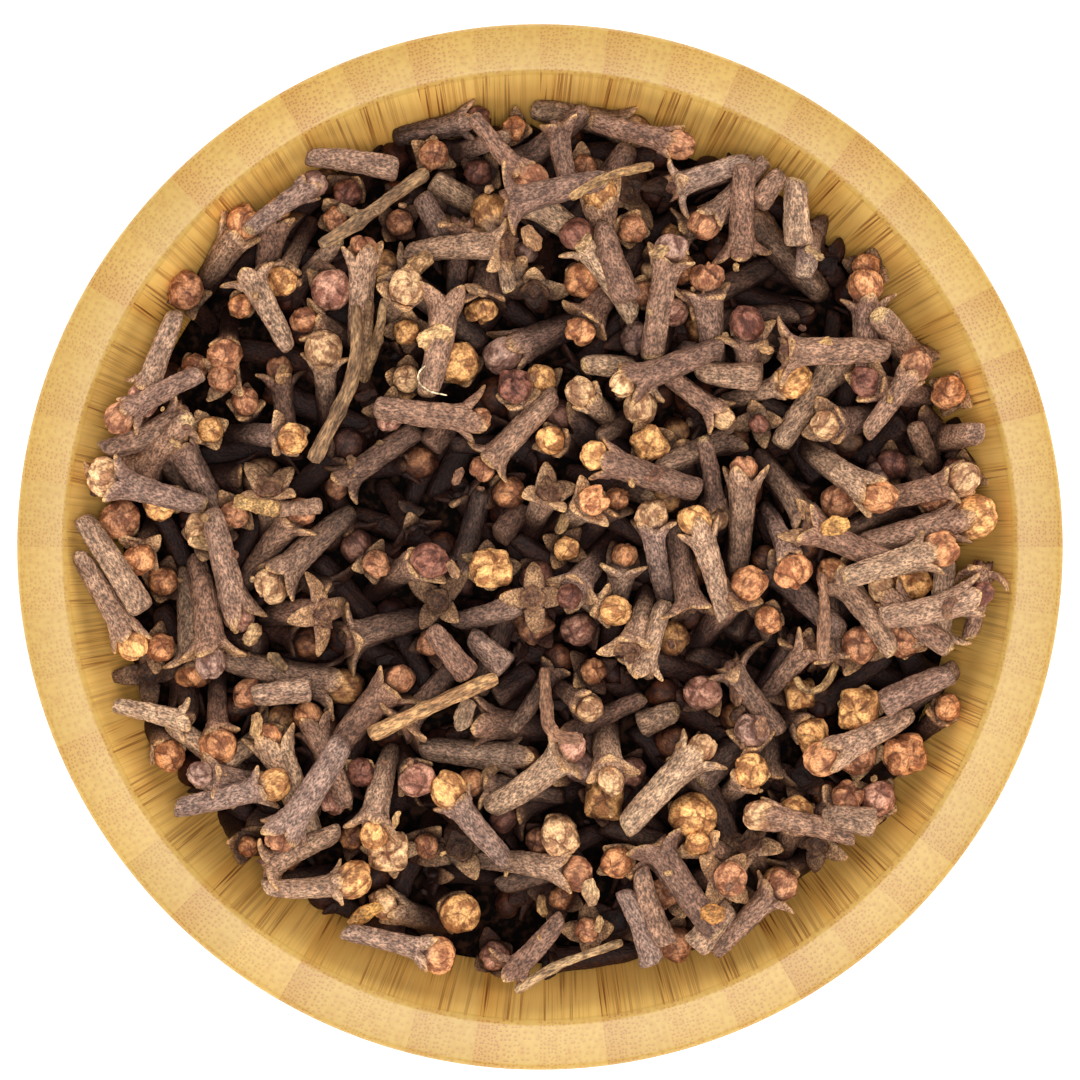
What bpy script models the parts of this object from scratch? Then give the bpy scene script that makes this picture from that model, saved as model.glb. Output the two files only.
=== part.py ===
"""A turned bamboo bowl heaped with whole cloves.

Metres, +Z up. The origin is the centre of the bowl's foot, on the surface that it stands on.
"""

import math
import random

import bmesh
import bpy
from mathutils import Matrix, Vector

MM = 0.001

# The bowl, a thick wall turned from a ring of upright staves
RIM_RADIUS = 62.5 * MM
RIM_WIDTH = 6.1 * MM
RIM_EDGE_ROUND = 0.8 * MM
BOWL_HEIGHT = 56.0 * MM
FOOT_RADIUS = 34.0 * MM
FOOT_CHAMFER = 0.8 * MM
OUTER_SWEEP = math.radians(38)
FLOOR_RADIUS = 26.0 * MM
FLOOR_HEIGHT = 9.0 * MM
INNER_SWEEP = math.radians(32)
BOWL_SEGMENTS = 56
WALL_STEPS = 6
ROUND_STEPS = 2

# The heap's core, which fills the bowl and rises from its edge on the wall to a crown above the rim
CORE_EDGE_HEIGHT = 46.0 * MM
CORE_CROWN_HEIGHT = 57.0 * MM
CORE_EDGE_RADIUS = 53.0 * MM
CORE_RINGS = 5
CORE_WALL_STEPS = 4
BOWL_GAP = 0.35 * MM

# A clove: a tapering stem, a collar of four sepals and a round bud
CLOVE_COUNT = 106
CORNERS = 4
SMALLEST_CLOVE = 12.5 * MM
LARGEST_CLOVE = 18.5 * MM
BASE_RADIUS_SHARE = 0.095
NECK_RADIUS_SHARE = 0.128
BUD_RADIUS_SHARE = 0.152
SEPAL_REACH_SHARE = 0.220
CROWN_RADIUS_SHARE = 0.125
UPRIGHT_SHARE = 0.2
CLOVE_TILT = math.radians(11)
UPRIGHT_LEAN = math.radians(32)
BUD_STANDS_OUT = 3.2 * MM
SPREAD_RADIUS = 52.5 * MM
EDGE_BAND = 5.5 * MM
EDGE_TOP = 52.6 * MM
PLACING_TRIES = 60
SEED = 7


class Arc:
    """A circular arc in the (radius, height) plane that bulges outwards between two points."""

    def __init__(self, low, high, sweep):
        low, high = Vector(low), Vector(high)
        chord = high - low
        self.low, self.high = low, high
        self.radius = chord.length / (2 * math.sin(sweep / 2))
        inward = Vector((-chord.y, chord.x)).normalized()
        self.centre = (low + high) / 2 + inward * self.radius * math.cos(sweep / 2)

    def radius_at(self, height):
        """How far the arc lies from the bowl's axis at this height."""
        rise = min(max(height, self.low.y), self.high.y) - self.centre.y
        return self.centre.x + math.sqrt(self.radius**2 - rise**2)

    def points(self, steps):
        """Points along the arc, low to high, with even steps in height."""
        heights = (self.low.y + (self.high.y - self.low.y) * i / steps for i in range(steps + 1))
        return [(self.radius_at(height), height) for height in heights]


OUTER_WALL = Arc(
    (FOOT_RADIUS, FOOT_CHAMFER),
    (RIM_RADIUS, BOWL_HEIGHT - RIM_EDGE_ROUND),
    OUTER_SWEEP,
)
INNER_WALL = Arc(
    (FLOOR_RADIUS, FLOOR_HEIGHT),
    (RIM_RADIUS - RIM_WIDTH, BOWL_HEIGHT - RIM_EDGE_ROUND),
    INNER_SWEEP,
)


def add_object(name, mesh, material):
    """Put a mesh in the scene as a named object with one material."""
    mesh.materials.clear()
    mesh.materials.append(material)
    made = bpy.data.objects.new(name, mesh)
    bpy.context.scene.collection.objects.link(made)
    return made


def make_material(name, colour, roughness):
    """A plain non-metal Principled material, its colour given as linear RGB."""
    material = bpy.data.materials.new(name)
    material.use_nodes = True
    shader = material.node_tree.nodes["Principled BSDF"]
    shader.inputs["Base Color"].default_value = (*colour, 1)
    shader.inputs["Roughness"].default_value = roughness
    shader.inputs["Metallic"].default_value = 0
    material.diffuse_color = (*colour, 1)
    return material


def turned_mesh(name, profile, segments):
    """Turn a (radius, height) profile that starts and ends on the axis into a closed mesh."""
    form = bmesh.new()
    points = [form.verts.new((radius, 0, height)) for radius, height in profile]
    edges = [form.edges.new(pair) for pair in zip(points, points[1:])]
    bmesh.ops.spin(
        form,
        geom=points + edges,
        cent=(0, 0, 0),
        axis=(0, 0, 1),
        angle=2 * math.pi,
        steps=segments,
        use_merge=True,
    )
    bmesh.ops.remove_doubles(form, verts=form.verts, dist=0.001 * MM)
    bmesh.ops.recalc_face_normals(form, faces=form.faces)
    mesh = bpy.data.meshes.new(name)
    form.to_mesh(mesh)
    form.free()
    return mesh


def rounded_edge(centre, start_angle):
    """A quarter round of the rim's edge about a centre in the profile's plane."""
    turns = (start_angle + math.pi / 2 * i / ROUND_STEPS for i in range(1, ROUND_STEPS))
    return [
        (centre[0] + RIM_EDGE_ROUND * math.cos(turn), centre[1] + RIM_EDGE_ROUND * math.sin(turn))
        for turn in turns
    ]


def bowl_profile():
    """The bowl's section, from the middle of its foot, up the outside and down to its floor."""
    edge_height = BOWL_HEIGHT - RIM_EDGE_ROUND
    outer_round = (RIM_RADIUS - RIM_EDGE_ROUND, edge_height)
    inner_round = (RIM_RADIUS - RIM_WIDTH + RIM_EDGE_ROUND, edge_height)
    return [
        (0, 0),
        (FOOT_RADIUS - FOOT_CHAMFER, 0),
        *OUTER_WALL.points(WALL_STEPS),
        *rounded_edge(outer_round, 0),
        (outer_round[0], BOWL_HEIGHT),
        (inner_round[0], BOWL_HEIGHT),
        *rounded_edge(inner_round, math.pi / 2),
        *reversed(INNER_WALL.points(WALL_STEPS)),
        (0, FLOOR_HEIGHT),
    ]


def core_height(radius):
    """The top of the solid core, a shallow dome over the bowl's mouth."""
    fall = (radius / CORE_EDGE_RADIUS) ** 2
    return CORE_CROWN_HEIGHT - (CORE_CROWN_HEIGHT - CORE_EDGE_HEIGHT) * fall


def core_profile():
    """The core's section: the bowl's floor and wall with a small gap, and a domed top."""
    base = FLOOR_HEIGHT + BOWL_GAP
    wall_top = CORE_EDGE_HEIGHT
    profile = [(0, base)]
    for i in range(CORE_WALL_STEPS + 1):
        height = base + (wall_top - base) * i / CORE_WALL_STEPS
        profile.append((INNER_WALL.radius_at(height) - BOWL_GAP, height))
    edge_radius = profile[-1][0]
    for i in range(1, CORE_RINGS):
        radius = edge_radius * (1 - i / CORE_RINGS)
        profile.append((radius, core_height(radius)))
    return [*profile, (0, core_height(0))]


def clove_rings(length):
    """The height and radius of each ring of corners along a clove, from its cut base to its crown."""
    return {
        "base": (0, length * BASE_RADIUS_SHARE),
        "neck": (0.68 * length, length * NECK_RADIUS_SHARE),
        "sepals": (0.80 * length, length * SEPAL_REACH_SHARE),
        "bud": (0.84 * length, length * BUD_RADIUS_SHARE),
        "crown": (0.98 * length, length * CROWN_RADIUS_SHARE),
    }


def clove_mesh(length):
    """One clove along +Z with its middle at the origin.

    The stem has four corners, a sepal spreads from each of them, and the bud's four sides face the gaps
    between the sepals.
    """
    form = bmesh.new()
    rings = {}
    for name, (height, radius) in clove_rings(length).items():
        turned = 0.5 if name in ("bud", "crown") else 0
        turns = (2 * math.pi * (corner + turned) / CORNERS for corner in range(CORNERS))
        rings[name] = [
            form.verts.new((radius * math.cos(turn), radius * math.sin(turn), height - length / 2))
            for turn in turns
        ]
    base, neck, sepals, bud, crown = rings.values()
    for here in range(CORNERS):
        after = (here + 1) % CORNERS
        form.faces.new((base[here], base[after], neck[after], neck[here]))
        form.faces.new((neck[here], bud[here], sepals[here]))
        form.faces.new((neck[here], neck[after], bud[here]))
        form.faces.new((neck[after], sepals[after], bud[here]))
        form.faces.new((sepals[here], bud[here], crown[here]))
        form.faces.new((sepals[after], crown[here], bud[here]))
        form.faces.new((sepals[after], crown[after], crown[here]))
    form.faces.new(reversed(base))
    form.faces.new(crown)
    bmesh.ops.triangulate(form, faces=form.faces)
    mesh = bpy.data.meshes.new("clove")
    form.to_mesh(mesh)
    form.free()
    return mesh


def fits_bowl(length, placing):
    """Whether each ring of a placed clove keeps its gap to the wall, and lies below the rim next to it."""
    for height, radius in clove_rings(length).values():
        point = placing @ Vector((0, 0, height - length / 2))
        reach = point.xy.length + radius
        if reach > INNER_WALL.radius_at(point.z - radius) - BOWL_GAP:
            return False
        if reach > CORE_EDGE_RADIUS - EDGE_BAND and point.z + radius > EDGE_TOP:
            return False
    return True


def lying_direction(position, draw):
    """A direction along the heap's slope, in any heading, tipped a little up or down."""
    heading = draw.uniform(0, 2 * math.pi)
    along = Vector((math.cos(heading), math.sin(heading), 0))
    step = position.xy + along.xy * MM
    slope = (core_height(step.length) - core_height(position.xy.length)) / MM
    tilt = math.atan(slope) + draw.gauss(0, CLOVE_TILT)
    return Vector((along.x * math.cos(tilt), along.y * math.cos(tilt), math.sin(tilt)))


def upright_direction(draw):
    """A direction near +Z, so that the bud shows from above and the stem sinks into the heap."""
    heading, lean = draw.uniform(0, 2 * math.pi), draw.uniform(0, UPRIGHT_LEAN)
    return Vector((
        math.sin(lean) * math.cos(heading),
        math.sin(lean) * math.sin(heading),
        math.cos(lean),
    ))


def drawn_placing(length, upright, draw):
    """A random placing of a clove on the heap, as the matrix that moves it there."""
    radius, turn = SPREAD_RADIUS * math.sqrt(draw.random()), draw.uniform(0, 2 * math.pi)
    position = Vector((radius * math.cos(turn), radius * math.sin(turn), 0))
    if upright:
        direction = upright_direction(draw)
        top = core_height(radius) + BUD_STANDS_OUT * draw.uniform(0.8, 1.2)
        position.z = top - direction.z * length / 2
    else:
        direction = lying_direction(position, draw)
        position.z = core_height(radius) + draw.uniform(0.3, 1.0) * length * NECK_RADIUS_SHARE
    roll = Matrix.Rotation(draw.uniform(0, math.pi / 2), 4, "Z")
    return Matrix.Translation(position) @ direction.to_track_quat("Z", "Y").to_matrix().to_4x4() @ roll


def seen_points(length, placing):
    """Points spread along a placed clove, as they are seen from above."""
    return [(placing @ Vector((0, 0, share * length))).xy for share in (-0.45, -0.2, 0.05, 0.3, 0.42)]


def place_clove(length, upright, taken, draw):
    """Of many drawn placings that fit the bowl, the one that lies farthest from the cloves in place."""
    best, best_room = None, -1
    for _ in range(PLACING_TRIES):
        placing = drawn_placing(length, upright, draw)
        if fits_bowl(length, placing):
            points = seen_points(length, placing)
            room = min(((a - b).length for a in points for b in taken), default=1)
            if room > best_room:
                best, best_room = placing, room
    return best


def keep_largest_body(mesh):
    """Drop every shell but the largest, so that sealed hollows are filled and loose scraps go."""
    form = bmesh.new()
    form.from_mesh(mesh)
    shells, unseen = [], set(form.verts)
    while unseen:
        shell, edge_of_shell = set(), [unseen.pop()]
        while edge_of_shell:
            point = edge_of_shell.pop()
            shell.add(point)
            nearby = {edge.other_vert(point) for edge in point.link_edges} & unseen
            unseen -= nearby
            edge_of_shell.extend(nearby)
        shells.append(shell)
    largest = max(shells, key=len)
    dropped = [point for point in form.verts if point not in largest]
    bmesh.ops.delete(form, geom=dropped, context="VERTS")
    form.to_mesh(mesh)
    form.free()


def fuse(core, pieces):
    """Join the pieces of a collection to the core with one Boolean union, and remove them."""
    joined = core.modifiers.new("fused_cloves", "BOOLEAN")
    joined.operation = "UNION"
    joined.operand_type = "COLLECTION"
    joined.collection = pieces
    joined.solver = "MANIFOLD"
    bpy.context.view_layer.update()
    graph = bpy.context.evaluated_depsgraph_get()
    fused = bpy.data.meshes.new_from_object(core.evaluated_get(graph))
    core.modifiers.remove(joined)
    keep_largest_body(fused)
    core.data = fused
    for piece in list(pieces.objects):
        bpy.data.objects.remove(piece)
    bpy.data.collections.remove(pieces)


def build_bowl():
    """The bowl, one solid turned from pale golden bamboo."""
    bamboo = make_material("satin_bamboo", (0.73, 0.48, 0.20), 0.45)
    mesh = turned_mesh("bowl", bowl_profile(), BOWL_SEGMENTS)
    mesh.shade_smooth()
    mesh.set_sharp_from_angle(angle=math.radians(35))
    return add_object("bowl", mesh, bamboo)


def build_cloves():
    """The heap, a core that fills the bowl with the cloves that show fused onto it."""
    dried_clove = make_material("dried_clove", (0.12, 0.065, 0.045), 0.8)
    core = add_object("cloves", turned_mesh("cloves", core_profile(), BOWL_SEGMENTS), dried_clove)
    pieces = bpy.data.collections.new("clove_pieces")
    bpy.context.scene.collection.children.link(pieces)
    draw = random.Random(SEED)
    taken = []
    for i in range(CLOVE_COUNT):
        length = LARGEST_CLOVE + (SMALLEST_CLOVE - LARGEST_CLOVE) * i / CLOVE_COUNT
        placing = place_clove(length, draw.random() < UPRIGHT_SHARE, taken, draw)
        if placing is None:
            continue
        taken += seen_points(length, placing)
        clove = bpy.data.objects.new("clove", clove_mesh(length))
        clove.matrix_world = placing
        pieces.objects.link(clove)
    fuse(core, pieces)
    core.data.materials.clear()
    core.data.materials.append(dried_clove)
    return core


def main():
    for old in list(bpy.data.objects):
        bpy.data.objects.remove(old)
    build_bowl()
    build_cloves()


main()
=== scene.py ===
"""The look of a turned bamboo bowl heaped with whole cloves, seen from straight above.

Lengths are in millimetres, in the part's frame, until a mesh is made: make_mesh turns them into metres.
The cloves are rods that settle into the bowl, pressed down and pushed apart until they lie on each other.
Each rod then becomes a stem, four sepals and a bud, as surfaces worked out for all cloves at once.
"""

import math
from functools import partial
from types import SimpleNamespace

import bpy
import numpy as np
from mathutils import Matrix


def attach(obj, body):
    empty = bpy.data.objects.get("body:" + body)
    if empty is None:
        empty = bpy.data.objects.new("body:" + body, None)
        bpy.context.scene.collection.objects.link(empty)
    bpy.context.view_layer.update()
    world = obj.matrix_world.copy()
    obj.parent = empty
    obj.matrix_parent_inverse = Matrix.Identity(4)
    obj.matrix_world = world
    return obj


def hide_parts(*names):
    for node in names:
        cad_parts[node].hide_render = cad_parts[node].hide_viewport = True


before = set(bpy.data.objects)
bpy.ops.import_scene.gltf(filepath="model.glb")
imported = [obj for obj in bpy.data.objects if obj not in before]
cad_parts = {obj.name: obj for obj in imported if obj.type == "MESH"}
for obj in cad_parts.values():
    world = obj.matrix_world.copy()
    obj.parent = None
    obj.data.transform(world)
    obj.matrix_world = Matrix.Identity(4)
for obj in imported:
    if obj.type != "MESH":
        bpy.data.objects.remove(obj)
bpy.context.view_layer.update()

MM = 0.001
SEED = 11

# The bowl, with the same section as the CAD part
RIM_RADIUS = 62.5
RIM_WIDTH = 6.1
EDGE_ROUND = 0.8
BOWL_HEIGHT = 56.0
FOOT_RADIUS = 34.0
FOOT_CHAMFER = 0.8
FLOOR_RADIUS = 26.0
FLOOR_HEIGHT = 9.0
OUTER_SWEEP = math.radians(38)
INNER_SWEEP = math.radians(32)
BOWL_SIDES = 288

# Its bamboo: the fibres' outward lean, which grows by FIBRE_BEND with each millimetre of depth, the cut fibre
# bundles of the end grain, the streaks of the long grain, STREAK_DRAW times as many up the wall as across it,
# soft clouds, and the painted light that makes the hollow's long grain paler than the end grain, under the
# rim and near the cloves, where it turns darker and redder as painted shade
STAVES = 48
FIBRE_LEAN = 0.295
FIBRE_BEND = 0.0055
VESSEL_SPACING = 0.68
VESSEL_RADIUS = 0.17
STREAKS_PER_MM = 6.5
STREAK_DRAW = 0.009
CLOUDS_PER_MM = 1.3
WALL_LIGHT_LIFT = (1.98, 2.04, 2.70, 1)
LOW_WALL_SHADED_LIFT = (1.98, 1.76, 2.05, 1)

# The dark core under the cloves: near-black painted shade for the deep gaps
CORE_TOP = 46.5
CORE_FALL = 4.0
CORE_RADIUS = 53.0
WALL_GAP = 0.3

# The cloves: where the neck, the bud and the stations that settle lie, and how thick each station is, as
# shares of the length. The other sizes are in millimetres, but BUD_SEAT is in bud radii
SHORTEST, LONGEST = 12.8, 17.6
NECK_PLACE = 0.72
BUD_PLACE = 0.86
STATIONS = np.array((0.05, 0.23, 0.41, 0.59, 0.76, 0.88))
STATION_RADII = np.array((0.076, 0.089, 0.101, 0.113, 0.155, 0.138))
BARE_RADIUS = 1.35
STEM_RELIEF = 0.13
SEPAL_THICKNESS = 1.05
BUD_SEAT = 0.80
PIT_SPACING = 0.25
BLOTCH_SPACING = 1.5
NO_CROWN = (1.0, 1.0, 0.0)

# How the heap is filled: cloves that look shorter than STEEP_REACH stand, and those that end beyond
# EDGE_REACH lean on the wall at EDGE_LEVEL. Cloves that show less than SEEN_LEAST of their length are made
# coarser, and painted shade darkens all of them from DEEP_START to DEEP_END under the heap's top
FILLERS = 205
CEILING = 63.2
FILLER_CEILING = 59.2
FILLERS_UPRIGHT = 0.06
STEEP_REACH = 8.5
EDGE_REACH, EDGE_LEVEL = 49.0, 55.0
HEAD_LEVEL, HEAD_FALL = 54.5, 3.0
SEEN_LEAST = 0.12
HEAP_TOP, HEAP_FALL = 60.0, 4.0
DEEP_START, DEEP_END = 3.6, 8.6
DEEP_SHADE_TINT = (0.065, 0.03, 0.022)
LOOSE_TOP = 62.8
FALLEN_SEPALS, CRUMBS = 34, 60

STEM_COLOURS = ("#94715B", "#A6846B", "#866350", "#AC8C70", "#8D7163", "#7A5B4B")
SCRAP_COLOURS = ("#9A7B56", "#A88152", "#7F5A42", "#AC875A", "#6E4B3A")
SEPAL_EDGE_COLOUR = "#C79B66"
CUT_COLOUR = "#D2AE78"
DISH_COLOUR = "#6B4A3A"
BUD_COLOURS = {
    "ochre": "#DCA569",
    "orange": "#CA8D60",
    "tan": "#D0A77C",
    "pink": "#BF8D77",
    "brown": "#B07B59",
    "dark": "#7C5041",
    "grey": "#9D7C6D",
}

# Cloves that lie near the top: base x and y, bud x, y and radius, form, bud colour
LYING = (
    (-34.5, 38.0, -27.0, 43.5, 1.6, "slim", "grey"),
    (-39.0, 26.0, -42.5, 31.0, 2.3, "round", "brown"),
    (-27.5, 40.0, -31.0, 32.0, 1.9, "round", "ochre"),
    (-7.0, 24.0, -20.5, 34.0, 2.2, "round", "ochre"),
    (-26.0, 14.5, -26.0, 23.5, 2.3, "round", "tan"),
    (-38.0, 29.0, -38.0, 23.0, 2.1, "round", "brown"),
    (-43.5, 28.0, -47.5, 17.5, 2.0, "round", "pink"),
    (-30.0, 11.0, -31.5, 22.0, 1.5, "slim", "brown"),
    (-35.0, 12.0, -35.5, 18.0, 1.7, "slim", "brown"),
    (-8.0, 51.5, -1.5, 44.0, 2.3, "round", "brown"),
    (-16.0, 49.5, -12.5, 47.5, 1.8, "round", "brown"),
    (6.0, 51.0, 17.0, 48.0, 1.8, "slim", "brown"),
    (-3.5, 30.5, -5.5, 39.5, 2.7, "round", "ochre"),
    (-0.5, 26.5, -10.0, 34.0, 2.1, "round", "tan"),
    (8.0, 28.5, -5.0, 22.5, 2.3, "round", "grey"),
    (11.0, 28.5, 11.5, 25.0, 2.0, "round", "grey"),
    (15.5, 27.0, 12.0, 16.0, 2.0, "round", "tan"),
    (14.5, 38.5, 13.5, 32.5, 1.4, "slim", "tan"),
    (10.0, 33.5, 12.5, 30.5, 1.5, "slim", "brown"),
    (20.0, 5.5, 18.5, 18.0, 2.4, "round", "ochre"),
    (19.5, 13.0, 21.0, 3.5, 1.9, "square", "tan"),
    (27.0, 46.5, 19.5, 38.5, 1.9, "round", "brown"),
    (33.5, 32.0, 22.0, 36.0, 2.2, "round", "tan"),
    (19.5, 33.5, 33.0, 28.0, 1.6, "slim", "orange"),
    (31.0, 28.0, 20.0, 26.5, 2.5, "round", "ochre"),
    (39.5, 18.0, 39.0, 31.5, 2.2, "round", "orange"),
    (38.5, 13.5, 44.5, 22.0, 1.9, "round", "brown"),
    (45.5, 8.0, 45.5, 17.0, 2.1, "round", "ochre"),
    (36.0, 29.0, 34.0, 18.5, 1.5, "slim", "brown"),
    (21.5, 17.5, 30.0, 20.0, 2.2, "round", "ochre"),
    (-40.0, 5.0, -52.0, 8.5, 2.1, "square", "tan"),
    (-48.0, 9.0, -33.0, 9.0, 2.5, "round", "tan"),
    (-33.5, 4.0, -39.5, -6.0, 2.6, "round", "tan"),
    (-25.0, -9.5, -30.0, 1.5, 2.6, "round", "ochre"),
    (-26.5, 9.0, -22.0, -0.5, 2.1, "round", "pink"),
    (-55.0, -1.0, -48.5, -12.0, 1.8, "slim", "ochre"),
    (-38.5, -13.5, -23.0, -17.0, 2.3, "round", "ochre"),
    (-39.0, -15.0, -38.5, -24.0, 2.2, "round", "orange"),
    (-24.0, 9.0, -14.5, 10.5, 2.2, "round", "orange"),
    (-13.0, 6.0, -5.0, 18.5, 2.7, "round", "ochre"),
    (-23.0, 4.0, -12.0, -0.5, 2.2, "round", "ochre"),
    (-8.5, 10.5, -3.5, 6.5, 2.0, "round", "orange"),
    (15.0, 7.5, 0.5, 16.0, 2.1, "round", "pink"),
    (3.0, 9.0, 16.0, 6.0, 2.0, "round", "ochre"),
    (15.5, -0.5, 6.0, 5.5, 1.9, "round", "pink"),
    (9.5, -1.0, 0.0, 7.0, 1.9, "square", "tan"),
    (1.0, -7.5, 13.0, -2.5, 2.2, "round", "grey"),
    (8.0, -11.5, 18.5, -2.5, 2.4, "round", "ochre"),
    (10.0, -6.5, 4.5, -10.0, 2.1, "round", "pink"),
    (-13.0, -17.5, -18.0, -8.0, 2.0, "slim", "pink"),
    (22.0, 13.5, 31.5, 5.0, 1.9, "square", "orange"),
    (26.5, 17.0, 37.5, 12.5, 2.0, "round", "tan"),
    (37.0, 2.0, 46.0, 6.0, 2.1, "round", "pink"),
    (38.0, 0.0, 52.0, 3.5, 2.7, "round", "ochre"),
    (43.0, 7.0, 36.0, 5.5, 2.2, "round", "brown"),
    (27.0, 5.0, 30.0, -3.0, 2.1, "square", "orange"),
    (26.0, 6.5, 22.5, -5.5, 1.9, "round", "brown"),
    (-48.5, -20.5, -44.5, -25.5, 1.9, "round", "orange"),
    (-40.0, -27.5, -31.0, -21.0, 2.1, "round", "ochre"),
    (-28.0, -33.0, -27.0, -23.5, 2.9, "round", "tan"),
    (-23.5, -18.0, -25.0, -32.0, 1.5, "slim", "pink"),
    (-43.5, -31.0, -31.5, -28.0, 2.0, "round", "ochre"),
    (-39.5, -32.5, -35.0, -36.5, 1.3, "slim", "orange"),
    (-33.0, -40.5, -22.5, -39.5, 2.2, "round", "ochre"),
    (-23.5, -46.0, -12.0, -49.0, 2.2, "round", "orange"),
    (-1.0, -18.5, -12.0, -24.0, 2.2, "round", "orange"),
    (-1.0, -22.0, -10.0, -31.5, 2.6, "round", "tan"),
    (-18.5, -22.5, -14.5, -28.0, 2.2, "round", "pink"),
    (-1.0, -26.0, -6.0, -37.0, 1.9, "square", "ochre"),
    (0.0, -26.0, 5.0, -26.5, 2.0, "round", "grey"),
    (14.5, -44.0, 16.5, -48.5, 2.0, "round", "brown"),
    (6.5, -39.0, -4.0, -44.5, 1.8, "round", "ochre"),
    (-15.0, -40.5, -9.5, -44.0, 2.5, "round", "ochre"),
    (30.0, -30.0, 23.5, -19.5, 2.0, "round", "ochre"),
    (27.0, -18.0, 33.0, -23.0, 2.0, "square", "ochre"),
    (37.5, -34.5, 26.0, -32.0, 1.9, "slim", "tan"),
    (24.0, -26.0, 22.5, -36.5, 1.7, "slim", "brown"),
    (20.5, -48.5, 29.0, -40.0, 2.0, "round", "brown"),
)

# Cloves that have lost their bud and show an open calyx: base x and y, calyx x and y
OPEN = (
    (-30.0, 23.5, -35.5, 34.0), (-52.0, 11.5, -41.5, 17.0), (4.0, 42.0, 2.5, 51.5), (5.0, 40.5, 12.0, 43.0),
    (25.0, 46.0, 14.5, 42.5), (1.0, 37.5, -0.5, 29.5), (11.0, 29.0, 2.5, 20.5), (33.0, 37.5, 35.5, 34.0),
    (21.5, 22.0, 29.0, 25.5), (-46.0, 4.0, -41.5, -6.5), (-25.5, -11.5, -34.5, -6.5),
    (-51.0, -19.0, -41.0, -21.5), (-19.5, 8.0, -14.5, 1.0), (-5.5, 0.0, -10.0, 7.5),
    (15.0, -6.5, 12.0, -16.0), (6.0, -13.5, -4.0, -12.5), (32.5, 0.5, 39.5, -3.0),
    (25.5, -19.0, 31.0, -9.5), (48.5, -1.5, 47.5, -13.0), (51.5, -11.0, 53.0, -1.0),
    (-31.0, -35.5, -32.5, -31.0), (-24.0, -34.0, -34.0, -39.5), (12.5, -18.0, 3.5, -22.5),
    (17.0, -33.5, 12.0, -29.5), (7.5, -34.0, 18.0, -37.5), (-5.0, -40.5, -14.5, -39.5),
    (-10.0, -40.0, -10.0, -35.0), (2.5, -44.5, -4.0, -51.5), (31.0, -31.5, 32.0, -27.0),
    (36.0, -33.5, 33.0, -36.5), (24.0, -37.0, 23.0, -42.5),
)

# Stems without a calyx: one end's x and y, the other's
BARE = (
    (-28.0, 46.5, -17.0, 45.0), (-14.5, 42.5, -11.0, 35.5), (-13.0, 44.5, -7.5, 41.5),
    (7.5, 38.5, 10.5, 29.5), (5.0, 22.0, 11.5, 21.0), (19.0, 24.5, 16.0, 21.5), (29.0, 44.5, 26.0, 41.0),
    (30.5, 44.0, 31.0, 36.0), (18.5, 21.5, 26.5, 20.5), (-27.0, -1.5, -19.5, -10.5),
    (-55.0, 3.5, -47.5, -7.5), (-44.0, -10.0, -33.0, -12.0), (-43.0, -16.5, -41.0, -13.0),
    (-34.5, -18.0, -27.5, -17.0), (-9.5, 16.5, -13.5, 12.0), (-5.0, 1.0, -2.0, 5.0), (-3.0, 1.5, 5.0, -3.5),
    (-5.5, -18.5, -1.0, -15.0), (-10.5, -9.0, -2.0, -6.5), (-13.0, -9.5, -8.5, -15.5),
    (-8.5, -10.5, -4.0, -14.5), (27.0, 11.5, 30.5, 13.5), (31.0, 13.0, 34.0, 8.5), (39.0, 10.5, 44.5, 15.5),
    (27.0, -4.0, 23.0, -11.0), (35.0, -13.0, 45.5, -17.0), (18.0, -12.5, 27.0, -17.0),
    (49.0, -15.0, 41.0, -19.0), (-19.0, -28.0, -20.5, -35.0), (16.5, -19.5, 12.0, -21.5),
    (11.5, -22.0, 18.0, -30.0), (12.0, -38.5, 15.0, -47.5), (10.0, -41.0, 13.5, -50.0),
    (-5.0, -41.0, 5.0, -37.5), (-15.0, -44.5, -12.0, -47.5), (19.0, -28.5, 24.0, -24.0),
    (34.0, -32.0, 40.0, -33.0), (28.0, -35.0, 25.5, -38.0), (23.0, -43.0, 18.5, -48.0),
)

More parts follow.
